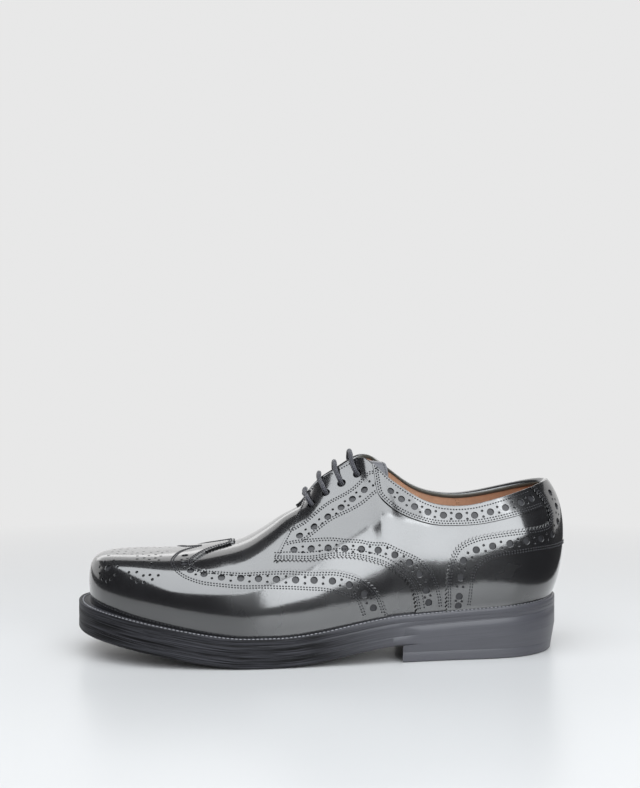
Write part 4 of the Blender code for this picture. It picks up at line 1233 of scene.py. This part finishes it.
def stitch_row(name, rows, finish, length, width, rise):
    """Stitches as rounded beads: an ellipse swept along each stitch, closed at its ends.

    Each row is centres, headings and normals; the bead's half width and rise follow
    the sine of the way from end to end, its length the cosine.
    """
    centre, ahead, normal = [np.concatenate(part)[:, None, None] for part in zip(*rows)]
    across = np.cross(normal, ahead)
    rings, sides = 3, 6
    u = np.linspace(0.0, math.pi, rings + 2)[1:-1]
    turn = np.linspace(0.0, 2.0 * math.pi, sides + 1)[:-1]
    fill = np.sin(u) ** 0.7
    ring = (centre - 0.5 * length * np.cos(u)[:, None, None] * ahead
            + 0.5 * width * (fill[:, None] * np.cos(turn))[..., None] * across
            + rise * (fill[:, None] * np.sin(turn))[..., None] * normal)
    count, per = len(centre), rings * sides + 2
    half = 0.5 * length * ahead[:, 0]
    ends = [centre[:, 0] + way * half for way in (-1, 1)]
    points = np.concatenate([ring.reshape(count, rings * sides, 3), *ends], axis=1)
    quads = grid_faces(rings, sides, around=True)
    j = np.arange(sides)
    first = np.column_stack([np.full(sides, per - 2), (j + 1) % sides, j])
    tail = (rings - 1) * sides
    last = np.column_stack([np.full(sides, per - 1), tail + j, tail + (j + 1) % sides])
    base = (np.arange(count) * per)[:, None, None]
    loops = np.concatenate([(part[None] + base).ravel() for part in (quads, first, last)])
    size = np.concatenate([np.full(count * len(quads), 4), np.full(2 * count * sides, 3)])
    thing = put(name, points.reshape(-1, 3), loops, size, [finish])
    return thing


def along_rows(side, rows, offsets, height, pitch):
    """Centres, headings and normals of stitches beside a path, for each offset."""
    made = []
    line = lay(side, rows, 0.002)
    for offset in offsets:
        path = clipped(beside(side, line, offset))
        path = lay(side, path[path[:, 1] > 0.004], pitch, half=True)
        ahead, _, normal = headings(side, path)
        made.append((surface(side, path[:, 0], path[:, 1], height), ahead, normal))
    return made


def build_stitches():
    """Rows of stitches beside the overlays' edges and along the top edge.

    They stand at an equal pitch along a spline through each row of stations and height
    shares, moved over the surface by the row's offset.
    """
    pitch, thick = sizes().stitch, sizes().thread
    finish = thread_finish("upper_thread", colours().thread)
    bead = (finish, STITCH_SHARE * pitch, thick, 0.6 * thick)
    level = STITCH_LIFT
    high = SEAT_GAP + STRIP_WALL + level
    edge = tuple(-offset for offset in EDGE_ROWS)
    groups = {
        "wing_stitches": [(WING_EDGE, edge, level), (WING_FRONT, TWIN_ROWS, level)],
        "quarter_stitches": [
            (QUARTER_FRONT, (0.0015,), level),
            (QUARTER_LOW, (0.0017, 0.0030, 0.0056), level),
            (QUARTER_UP, TWIN_ROWS, level),
            (FACING_UP, TWIN_ROWS, level),
            (FACING_LOW, TWIN_ROWS, level),
        ],
        "strip_stitches": [(STRIP_EDGE, (0.0010, 0.0024), high)],
        "counter_stitches": [(COUNTER_EDGE, edge, high), (COUNTER_IN, TWIN_ROWS, high)],
    }
    for name, rows in groups.items():
        made = [row for side in (-1, 1) for path, offsets, height in rows
                for row in along_rows(side, path, offsets, height, pitch)]
        stitch_row(name, made, *bead)

    made = []
    for side in (-1, 1):
        for start, end, inset, height in ((6.62, 7.52, 0.0017, level),
                                          (7.75, 10.9, 0.0021, high)):
            s = np.linspace(start, end, 60)
            path = np.column_stack([s, inset_height(side, s, inset)])
            made += along_rows(side, path[::4], (0.0,), height, pitch)
    stitch_row("topline_stitches", made, *bead)


def build_topline():
    """Rolled edge over the walls' tops and the binding's flat band inside.

    The roll is half an ellipse carried along the top edge, as wide as the walls. The
    band is a flat rectangle that comes down the lining by its width.
    """
    t = np.concatenate([np.linspace(6.02, 12.0, 260), np.linspace(12.0, 17.98, 260)[1:]])
    s = np.where(t <= STATIONS, t, RING - t)
    rows = []
    for side in (-1, 1):
        edge = surface(side, s, 1.0)
        out = unit(surface(side, s, 1.0, 0.001) - edge)
        rows.append((edge, out, unit(slopes(side, s, 1.0)[1])))
    pick = (t <= STATIONS)[:, None]
    edge, out, up = [np.where(pick, a, b) for a, b in zip(*rows)]
    back = np.abs(t - STATIONS) < NEAR
    out[back] = unit(0.5 * (rows[0][1][back] + rows[1][1][back]))
    high = (SEAT_GAP + STRIP_WALL) * np.clip((s - 7.55) / 0.25, 0.0, 1.0)
    low = -LINING_DEPTH - 0.00025
    half = 0.5 * (high - low) + 0.00008
    middle = 0.5 * (high + low)
    edge, out, up = edge[:, None], out[:, None], up[:, None]
    turn = np.linspace(-0.5, math.pi + 0.5, 13)
    arc = (edge + out * (middle[:, None] + half[:, None] * np.cos(turn))[..., None]
           + up * (ROLL_RISE * np.sin(turn))[:, None])
    roll = swept("topline_roll", arc, polished_leather())
    olive = raw_leather("topline_binding", (0.085, 0.082, 0.068), 0.42)
    down, depth = np.array(BINDING).T
    points = edge + out * (low - depth)[:, None] - up * down[:, None]
    binding = swept("topline_binding", points, olive)


def edge_loop(t, row):
    """Points at ring stations t of one row of a profile: lift, inset ahead, at the heel.

    The inset changes over from the one ahead of the breast to the one at the heel.
    """
    lift, ahead, heel = row
    x = outline(t)[0][:, 0]
    share = np.clip((x - HEEL_BREAST) / 0.016 + 0.5, 0.0, 1.0)
    plan = outline(t, ahead + (heel - ahead) * share)[0]
    return np.column_stack([plan, sole_bottom(plan[:, 0]) + lift])


def slab(name, profile, finish, replaces, count=480, hollow=False):
    """Layer of the sole: rows of points round its edge, joined from the lowest up.

    A hollow layer is a ring whose last row joins its first, and a full one is closed
    across above and below by strips between facing points of its edge.
    """
    t = np.linspace(0.0, RING, count + 1)[:-1]
    points = np.stack([edge_loop(t, row) for row in profile])
    quads = grid_faces(len(points), count, around=True, round_trip=hollow)
    girth = np.append(lengths(points[:, 0]), 0.0)
    uv = np.column_stack(grid_uv(quads, count, girth, past_end(lengths(points[0])))[::-1])
    loops, size = [quads.ravel()], [np.full(len(quads), 4)]
    if not hollow:
        k = np.arange(1, count // 2 - 1)
        half = count // 2
        for base, way in ((0, -1), ((len(points) - 1) * count, 1)):
            quad = np.column_stack([k, k + 1, count - k - 1, count - k]) + base
            tips = np.array([[0, 1, count - 1], [half, half + 1, half - 1]]) + base
            for part in (quad, tips):
                loops.append(part[:, ::way].ravel())
                size.append(np.full(len(part), part.shape[1]))
    flat = points.reshape(-1, 3)
    uv = np.concatenate([uv] + [flat[part, :2] for part in loops[1:]])
    thing = put(name, flat, np.concatenate(loops), np.concatenate(size), [finish], uv=uv)
    thing.data.set_sharp_from_angle(angle=math.radians(50))
    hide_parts(replaces)


def build_sole():
    """Outsole, midsole and welt, and the welt's stitches.

    Each layer is a profile carried round the outline's spline: heights over the sole's
    underside and insets from the outline. The stitches stand at an equal pitch along the
    outline moved in by their inset.
    """
    r = OUTSOLE_EDGE_RADIUS
    turn = np.linspace(0.0, math.pi / 2, 6)
    rows = [(r - r * math.cos(a), r - r * math.sin(a), 0.0) for a in turn]
    top = OUTSOLE_THICKNESS
    rows += [(top - 0.0002, 0.0, 0.0), (top, 0.00025, 0.0), (top + 0.5 * SEAT_GAP, 0.0003, 0.0)]
    edge = sole_edge()
    slab("outsole_waxed", rows, edge, "outsole")
    low = top + 0.5 * SEAT_GAP
    high = top + SEAT_GAP + MIDSOLE_THICKNESS
    line = high + SEAT_GAP + WELT_THICKNESS - HEEL_LINE_DROP
    rows = [(low, 0.0003, 0.0), (low + 0.0001, 0.0001, 0.0), (line - 0.0002, 0.0, 0.0),
            (line, 0.0, 0.00018), (line + 0.0002, 0.0, 0.0), (line + 0.0005, 0.0, 0.00015),
            (line + 0.0007, 0.0, 0.0), (high, 0.0, 0.0), (high + 0.5 * SEAT_GAP, 0.00012, 0.0)]
    slab("midsole_waxed", rows, edge, "midsole")
    low = high + 0.5 * SEAT_GAP
    high = high + SEAT_GAP + WELT_THICKNESS
    inner = max(WELT_SHOW) + WELT_OVERLAP
    rows = [(low, inner), (low, 0.00012), (low + 0.0002, 0.0), (high - 0.0006, 0.0),
            (high - 0.0002, 0.0002), (high, 0.0006), (high, 0.0017), (high - 0.0004, 0.0021),
            (high - 0.0004, 0.0029), (high, 0.0033), (high, inner)]
    slab("welt_waxed", [(z, inset, inset) for z, inset in rows], edge,
         "welt", hollow=True)
    t = np.linspace(0.0, RING, 2401)
    run = lengths(outline(t, WELT_STITCH_INSET)[0])
    count = int(round(run[-1] / sizes().welt_stitch))
    t = np.interp((np.arange(count) + 0.5) * run[-1] / count, run, t)
    plan, outward = outline(t, WELT_STITCH_INSET)
    z = sole_bottom(plan[:, 0]) + high - 0.0001
    slope = (sole_bottom(plan[:, 0] + 0.001) - sole_bottom(plan[:, 0] - 0.001)) / 0.002
    ahead = np.column_stack([-outward[:, 1], outward[:, 0], -slope * outward[:, 1]])
    normal = unit(np.column_stack([-slope, np.zeros(count), np.ones(count)]))
    stitches = stitch_row("welt_stitches", [(np.column_stack([plan, z]), unit(ahead), normal)],
                          thread_finish("welt_thread", colours().welt_thread),
                          0.80 * sizes().welt_stitch, 0.0009, 0.00045)


def heel_plan(inset_back, inset_side, count=181):
    """Plan of the heel: the sole's edge behind the breast, closed by a hollow arc."""
    t = np.linspace(0, RING, 4801)
    edge = outline(t)[0]
    behind = t[edge[:, 0] - BREAST_SLOPE * edge[:, 1] > HEEL_BREAST]
    t = np.linspace(behind[0], behind[-1], count)
    backness = np.clip(1.0 - np.abs(t - STATIONS) / 3.0, 0.0, 1.0)
    edge = outline(t, inset_side + (inset_back - inset_side) * backness)[0]
    across = np.linspace(0.0, 1.0, 41)[1:-1]
    front = edge[-1] + (edge[0] - edge[-1]) * across[:, None]
    front[:, 0] += BREAST_HOLLOW * 4.0 * across * (1.0 - across)
    return np.concatenate([edge, front])


def heel_block(name, levels, finish, node):
    """Heel piece: plans at rising levels, joined round and closed above and below."""
    rings = []
    for back, side, height in levels:
        plan = heel_plan(back, side)
        z = height(plan[:, 0]) if callable(height) else np.full(len(plan), height)
        rings.append(np.column_stack([plan, z]))
    points = np.stack(rings)
    count = points.shape[1]
    quads = grid_faces(len(rings), count, around=True)
    uv = np.column_stack(grid_uv(quads, count, points[..., 2].max(axis=1),
                                 past_end(lengths(points[0])))[::-1])
    loops, size = capped(len(rings), count, quads)
    flat = points.reshape(-1, 3)
    uv = np.concatenate([uv, flat[loops[-2 * count:], :2]])
    thing = put(name, flat, loops, size, [finish], uv=uv)
    thing.data.set_sharp_from_angle(angle=math.radians(40))
    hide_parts(node)


def build_heel():
    """Heel in two pieces whose sides lean out from the floor to the seat, flush above."""
    block = sole_edge()
    seam = HEEL_TOP_PIECE + 0.5 * SEAT_GAP

    def level(share, extra=0.0):
        inset = HEEL_TAPER * (1.0 - share)
        return inset + extra, 0.3 * inset + extra

    heights = ((0.0, 0.0006), (0.0005, 0.0), (seam - 0.0002, 0.0), (seam, 0.00012))
    levels = [(*level(z / HEEL_SEAT_HEIGHT, extra), z) for z, extra in heights]
    heel_block("heel_top_piece_waxed", levels, block, "heel_top_piece")
    base = seam / HEEL_SEAT_HEIGHT
    levels = []
    for share in np.linspace(0.0, 1.0, 7):

        def height(x, share=share):
            return seam + (sole_bottom(x) - seam) * share

        levels.append((*level(base + (1.0 - base) * share), height))
    heel_block("heel_stack_waxed", levels, block, "heel_stack")


def lace_paths():
    """Middle lines of the lace's bars, from eyelet to eyelet over both facings."""
    lift = 0.5 * sizes().lace + 3.0 * SEAT_GAP
    spots = {side: eyelet_spots(side) for side in (-1, 1)}
    paths = []
    for i in range(EYELET_COUNT):
        halves = []
        for side in (-1, 1):
            s, v = spots[side][i]
            deep = surface(side, s, np.array([v - 0.006, v, v + 0.004]),
                           np.array([-0.0030, -0.0016, 0.0004]))
            run = surface(side, s, np.linspace(v + 0.022, 0.975, 4), lift)
            edge = skin(side, s, 1.0)
            outward = surface(side, s, 1.0, 1.0) - edge + (0.0, 0.0, 1.2)
            over = edge + lift * outward / np.linalg.norm(outward)
            halves.append(np.concatenate([deep, run, [over]]))
        rows = np.concatenate([halves[0], halves[1][::-1]])
        knots = lengths(rows)
        paths.append(spline(knots, rows)(np.linspace(0.0, knots[-1], 90)))
    return paths


def build_lace():
    """Round cord: a circle with eight soft ribs carried along each bar's line."""
    finish = lace_finish()
    radius = 0.5 * sizes().lace
    turn = np.linspace(0.0, 2.0 * math.pi, 25)[:-1]
    for i, path in enumerate(lace_paths()):
        ahead = unit(np.gradient(path, axis=0))
        side = unit(np.cross(ahead, np.array([1.0, 0.0, 0.25])))
        up = np.cross(side, ahead)
        twist = 2.0 * math.pi * lengths(path)[:, None] / 0.009
        r = radius * (0.97 + 0.03 * np.cos(8.0 * turn[None, :] + twist))
        points = (path[:, None] + (r * np.cos(turn))[..., None] * side[:, None]
                  + (r * np.sin(turn))[..., None] * up[:, None])
        thing = swept("lace_%d" % (i + 1), points, finish, flip=True)
        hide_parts("lace_bar_%d" % (i + 1))


def tongue_rows(across_count=33, down_count=30):
    """Rows across the tongue's upper face, from under the vamp to its tip.

    Each row follows the surface below the vamp from side to side over the gap, is read
    off at equal lengths and smoothed by a mean of five; the tip narrows and droops.
    """
    below = -OVERLAY_WALL - UPPER_WALL - 2.6 * SEAT_GAP
    rows = []
    for s in np.linspace(5.5, 7.42, down_count):
        width = TONGUE_UNDERLAP * (0.7 + 0.3 * ((s - 5.5) / 1.92))
        room = THROAT_ROOM * min(max((6.9 - s) / 0.6, 0.0), 1.0)
        halves = []
        for side in (-1, 1):
            v = np.linspace(inset_height(side, np.array([s]), width)[0], 1.0, 17)
            halves.append(surface(side, s, v, below - room))
        line = np.concatenate([halves[0], halves[1][::-1]])
        run = lengths(line)
        row = resampled(np.linspace(0.0, run[-1], across_count), run, line)
        padded = np.concatenate([row[:1], row[:1], row, row[-1:], row[-1:]])
        soft = np.column_stack([np.convolve(column, np.ones(5) / 5.0, "valid")
                                for column in padded.T])
        soft[0], soft[-1] = row[0], row[-1]
        rows.append(soft)
    last = rows[-1]
    middle = last[across_count // 2, 1]
    across = np.linspace(-1.0, 1.0, across_count)
    for share in np.linspace(0.0, 1.0, 13)[1:]:
        row = last.copy()
        row[:, 0] += TONGUE_TIP * share
        row[:, 2] -= 0.10 * TONGUE_TIP * share * share
        row[:, 1] = middle + (row[:, 1] - middle) * (1.0 - 0.22 * share ** 0.5)
        row[:, 0] -= 0.30 * TONGUE_TIP * share * across ** 4
        rows.append(row)
    return np.array(rows)


def tongue_seam(line, normals, start, end):
    """Centres, headings and normals of stitches along a line of the tongue's face."""
    run = lengths(line)
    at = np.arange(start, run[-1] - end, TONGUE_STITCH)
    place = resampled(at, run, line)
    return place, unit(np.gradient(place, axis=0)), unit(resampled(at, run, normals))


def build_tongue():
    """Tongue: its upper face offset inwards by its wall, with a rounded rim."""
    top = tongue_rows()
    normal = unit(np.cross(np.gradient(top, axis=0), np.gradient(top, axis=1)))
    normal *= np.sign(normal[:, :, 2:3])
    low = top - normal * TONGUE_WALL
    middle = 0.5 * (top + low)
    first = unit(middle[:, :1] - middle[:, 1:2]) * TONGUE_RIM
    last = unit(middle[:, -1:] - middle[:, -2:-1]) * TONGUE_RIM
    profile = np.concatenate([top, middle[:, -1:] + last, low[:, ::-1],
                              middle[:, :1] + first], axis=1)
    thing = swept("tongue_leather_piece", profile, tongue_finish(), flip=True)
    thing.data.set_sharp_from_angle(angle=math.radians(60))
    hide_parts("tongue")
    made = [tongue_seam(top[:, j], normal[:, j], 0.001, 0.002) for j in (2, -3)]
    made.append(tongue_seam(top[-2, 3:-3], normal[-2, 3:-3], 0.0005, 0.0))
    thing = stitch_row("tongue_stitches", made, thread_finish("tongue_thread",
                       (0.03, 0.03, 0.033)), 0.0012, 0.0005, 0.00025)


def build_inside():
    """Lining leather on the insole board, and the seams of the lining at its back.

    A seam is a line of constant station on the surface, moved in to the lining's face.
    """
    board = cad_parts["insole"]
    board.data.materials.clear()
    board.data.materials.append(lining_leather())
    made = []
    seam = np.column_stack([np.full(90, LINING_SEAM_STATION), np.linspace(0.62, 0.955, 90)])
    for side in (1, -1):
        for gap in (-LINING_SEAM_HALF, LINING_SEAM_HALF):
            path = beside(side, seam, gap)
            place = surface(side, path[:, 0], path[:, 1], -LINING_DEPTH - 0.00008)
            run = lengths(place)
            at = np.arange(0.0, run[-1], LINING_STITCH)
            spots = resampled(at, run, place)
            along, up = slopes(side, *resampled(at, run, path).T)
            normal = unit(np.cross(along, up)) * side
            made.append((spots, unit(np.gradient(spots, axis=0)), normal))
    thing = stitch_row("lining_stitches", made,
                       thread_finish("lining_thread", (0.42, 0.25, 0.15)),
                       0.0016, 0.0006, 0.0003)


def area_light(name, place, target, width, height, power, colour, roll):
    """Softbox that faces its target, rolled about its own axis by degrees."""
    data = bpy.data.lights.new(name, "AREA")
    data.shape = "RECTANGLE"
    data.size, data.size_y = width, height
    data.energy = power
    data.color = colour
    thing = bpy.data.objects.new(name, data)
    thing.location = place
    aim = (Vector(place) - Vector(target)).to_track_quat("Z", "Y")
    thing.rotation_euler = (aim @ Quaternion((0.0, 0.0, 1.0), math.radians(roll))).to_euler()
    bpy.context.scene.collection.objects.link(thing)


def stage_grid(name, points, finish):
    """Object of the stage through a grid of points."""
    mesh = bpy.data.meshes.new(name)
    mesh.from_pydata(points.reshape(-1, 3).tolist(), [],
                     grid_faces(*points.shape[:2]).tolist())
    mesh.materials.append(finish)
    thing = bpy.data.objects.new(name, mesh)
    bpy.context.scene.collection.objects.link(thing)
    return thing


def build_stage():
    """Floor, backdrop, world, softboxes and camera.

    The floor is a plane that widens with its distance and fades into the backdrop's
    light; the backdrop is part of a cylinder round the shoe.
    """
    scene = bpy.context.scene
    ahead = np.linspace(FLOOR_FRONT, FLOOR_BACK, 60)
    share = np.linspace(0.0, 1.0, 50)
    left, right = -0.30 - 0.30 * (ahead - FLOOR_FRONT), 0.125 + 0.36 * (ahead - FLOOR_FRONT)
    x = left[:, None] + (right - left)[:, None] * share
    points = np.stack([x, np.broadcast_to(ahead[:, None], x.shape),
                       np.full(x.shape, -0.00005)], axis=-1)
    f = Finish("studio_floor", colours().floor, 0.32)
    f.set(Specular_IOR_Level=0.35)
    far = f.node("VectorMath")
    far.operation = "LENGTH"
    f.links.new(f.place.outputs["Object"], far.inputs[0])
    fade = f.range(far.outputs["Value"], 0.0, 1.0, 0.24, 0.75)
    glow = f.node("Emission", Color=GLOW)
    mix = f.node("MixShader")
    f.links.new(fade, mix.inputs["Fac"])
    f.links.new(f.shader.outputs["BSDF"], mix.inputs[1])
    f.links.new(glow.outputs["Emission"], mix.inputs[2])
    f.links.new(mix.outputs["Shader"], f.output.inputs["Surface"])
    thing = stage_grid("studio_floor", points, f.material)

    turn, high = np.meshgrid(np.linspace(-1.35, 1.35, 33), [-0.02, 0.5, 1.0, 1.6, 2.3])
    wall = np.stack([BACKDROP_RADIUS * np.sin(turn), BACKDROP_RADIUS * np.cos(turn), high],
                    axis=-1)
    f = Finish("studio_backdrop", (0.8, 0.8, 0.8), 0.9)
    f.links.new(f.node("Emission", Color=GLOW).outputs["Emission"], f.output.inputs["Surface"])
    thing = stage_grid("studio_backdrop", wall, f.material)

    world = bpy.data.worlds.new("studio")
    scene.world = world
    world.use_nodes = True
    back = world.node_tree.nodes["Background"]
    back.inputs["Color"].default_value = (0.05, 0.05, 0.052, 1.0)
    back.inputs["Strength"].default_value = 1.0
    for row in SOFTBOXES:
        area_light(*row)

    data = bpy.data.cameras.new("camera")
    data.sensor_fit = "AUTO"
    data.sensor_width = 36.0
    data.lens = 50.0
    camera = bpy.data.objects.new("camera", data)
    camera.location = CAMERA_PLACE
    camera.rotation_euler = (math.radians(90.0), 0.0, math.radians(CAMERA_TURN))
    scene.collection.objects.link(camera)
    scene.camera = camera
    scene.view_settings.view_transform = "Standard"
    scene.view_settings.look = "None"


def finished(*names):
    """Raise an error if a piece that an operator should have made isn't there."""
    for name in names:
        thing = bpy.data.objects.get(name)
        if thing is None or not thing.data.polygons:
            raise RuntimeError("piece not made: " + name)
    return {"FINISHED"}


class SHOE_OT_stage(bpy.types.Operator):
    """Floor, backdrop, lights and camera."""

    bl_idname = "shoe.stage"
    bl_label = "Stage"

    def execute(self, context):
        build_stage()
        return finished("studio_floor", "studio_backdrop")


class SHOE_OT_sole(bpy.types.Operator):
    """Outsole, midsole, welt and the welt's stitches."""

    bl_idname = "shoe.sole"
    bl_label = "Sole"

    def execute(self, context):
        build_sole()
        return finished("outsole_waxed", "midsole_waxed", "welt_waxed", "welt_stitches")


class SHOE_OT_heel(bpy.types.Operator):
    """Heel block and its top piece."""

    bl_idname = "shoe.heel"
    bl_label = "Heel"

    def execute(self, context):
        build_heel()
        return finished("heel_top_piece_waxed", "heel_stack_waxed")


class SHOE_OT_upper(bpy.types.Operator):
    """Vamp, lining and the punched overlays."""

    bl_idname = "shoe.upper"
    bl_label = "Upper"

    def execute(self, context):
        build_upper()
        return finished("vamp_and_lining", "wing_cap_punched", "quarters_punched",
                        "counter_punched")


class SHOE_OT_stitches(bpy.types.Operator):
    """Rows of stitches of the upper."""

    bl_idname = "shoe.stitches"
    bl_label = "Stitches"

    def execute(self, context):
        build_stitches()
        return finished("wing_stitches", "quarter_stitches", "strip_stitches",
                        "counter_stitches", "topline_stitches")


class SHOE_OT_topline(bpy.types.Operator):
    """Rolled edge of collar and facings, and its binding."""

    bl_idname = "shoe.topline"
    bl_label = "Topline"

    def execute(self, context):
        build_topline()
        return finished("topline_roll", "topline_binding")


class SHOE_OT_tongue(bpy.types.Operator):
    """Tongue and its stitches."""

    bl_idname = "shoe.tongue"
    bl_label = "Tongue"

    def execute(self, context):
        build_tongue()
        return finished("tongue_leather_piece", "tongue_stitches")


class SHOE_OT_lace(bpy.types.Operator):
    """Bars of braided lace between the eyelets."""

    bl_idname = "shoe.lace"
    bl_label = "Lace"

    def execute(self, context):
        build_lace()
        return finished("lace_1", "lace_2", "lace_3", "lace_4")


class SHOE_OT_inside(bpy.types.Operator):
    """Sock leather and the lining's seams."""

    bl_idname = "shoe.inside"
    bl_label = "Inside"

    def execute(self, context):
        build_inside()
        return finished("lining_stitches")


OPERATORS = (SHOE_OT_stage, SHOE_OT_sole, SHOE_OT_heel, SHOE_OT_upper, SHOE_OT_stitches,
             SHOE_OT_topline, SHOE_OT_tongue, SHOE_OT_lace, SHOE_OT_inside)


class SHOE_PT_panel(bpy.types.Panel):
    """Sizes, colours and pieces of the shoe."""

    bl_label = "Brogue shoe"
    bl_idname = "SHOE_PT_panel"
    bl_space_type = "VIEW_3D"
    bl_region_type = "UI"
    bl_category = "Brogue"

    def draw(self, context):
        for group in (context.scene.shoe_sizes, context.scene.shoe_colours):
            box = self.layout.box()
            for name in group.__annotations__:
                box.prop(group, name)
        for made in OPERATORS:
            self.layout.operator(made.bl_idname)


CLASSES = (ShoeSizes, ShoeColours, *OPERATORS, SHOE_PT_panel)


def register():
    for made in CLASSES:
        bpy.utils.register_class(made)
    bpy.types.Scene.shoe_sizes = bpy.props.PointerProperty(type=ShoeSizes)
    bpy.types.Scene.shoe_colours = bpy.props.PointerProperty(type=ShoeColours)


def unregister():
    del bpy.types.Scene.shoe_colours
    del bpy.types.Scene.shoe_sizes
    for made in reversed(CLASSES):
        bpy.utils.unregister_class(made)


def main():
    register()
    bpy.ops.shoe.stage()
    bpy.ops.shoe.sole()
    bpy.ops.shoe.heel()
    bpy.ops.shoe.upper()
    bpy.ops.shoe.stitches()
    bpy.ops.shoe.topline()
    bpy.ops.shoe.tongue()
    bpy.ops.shoe.lace()
    bpy.ops.shoe.inside()


if __name__ == "__main__":
    main()
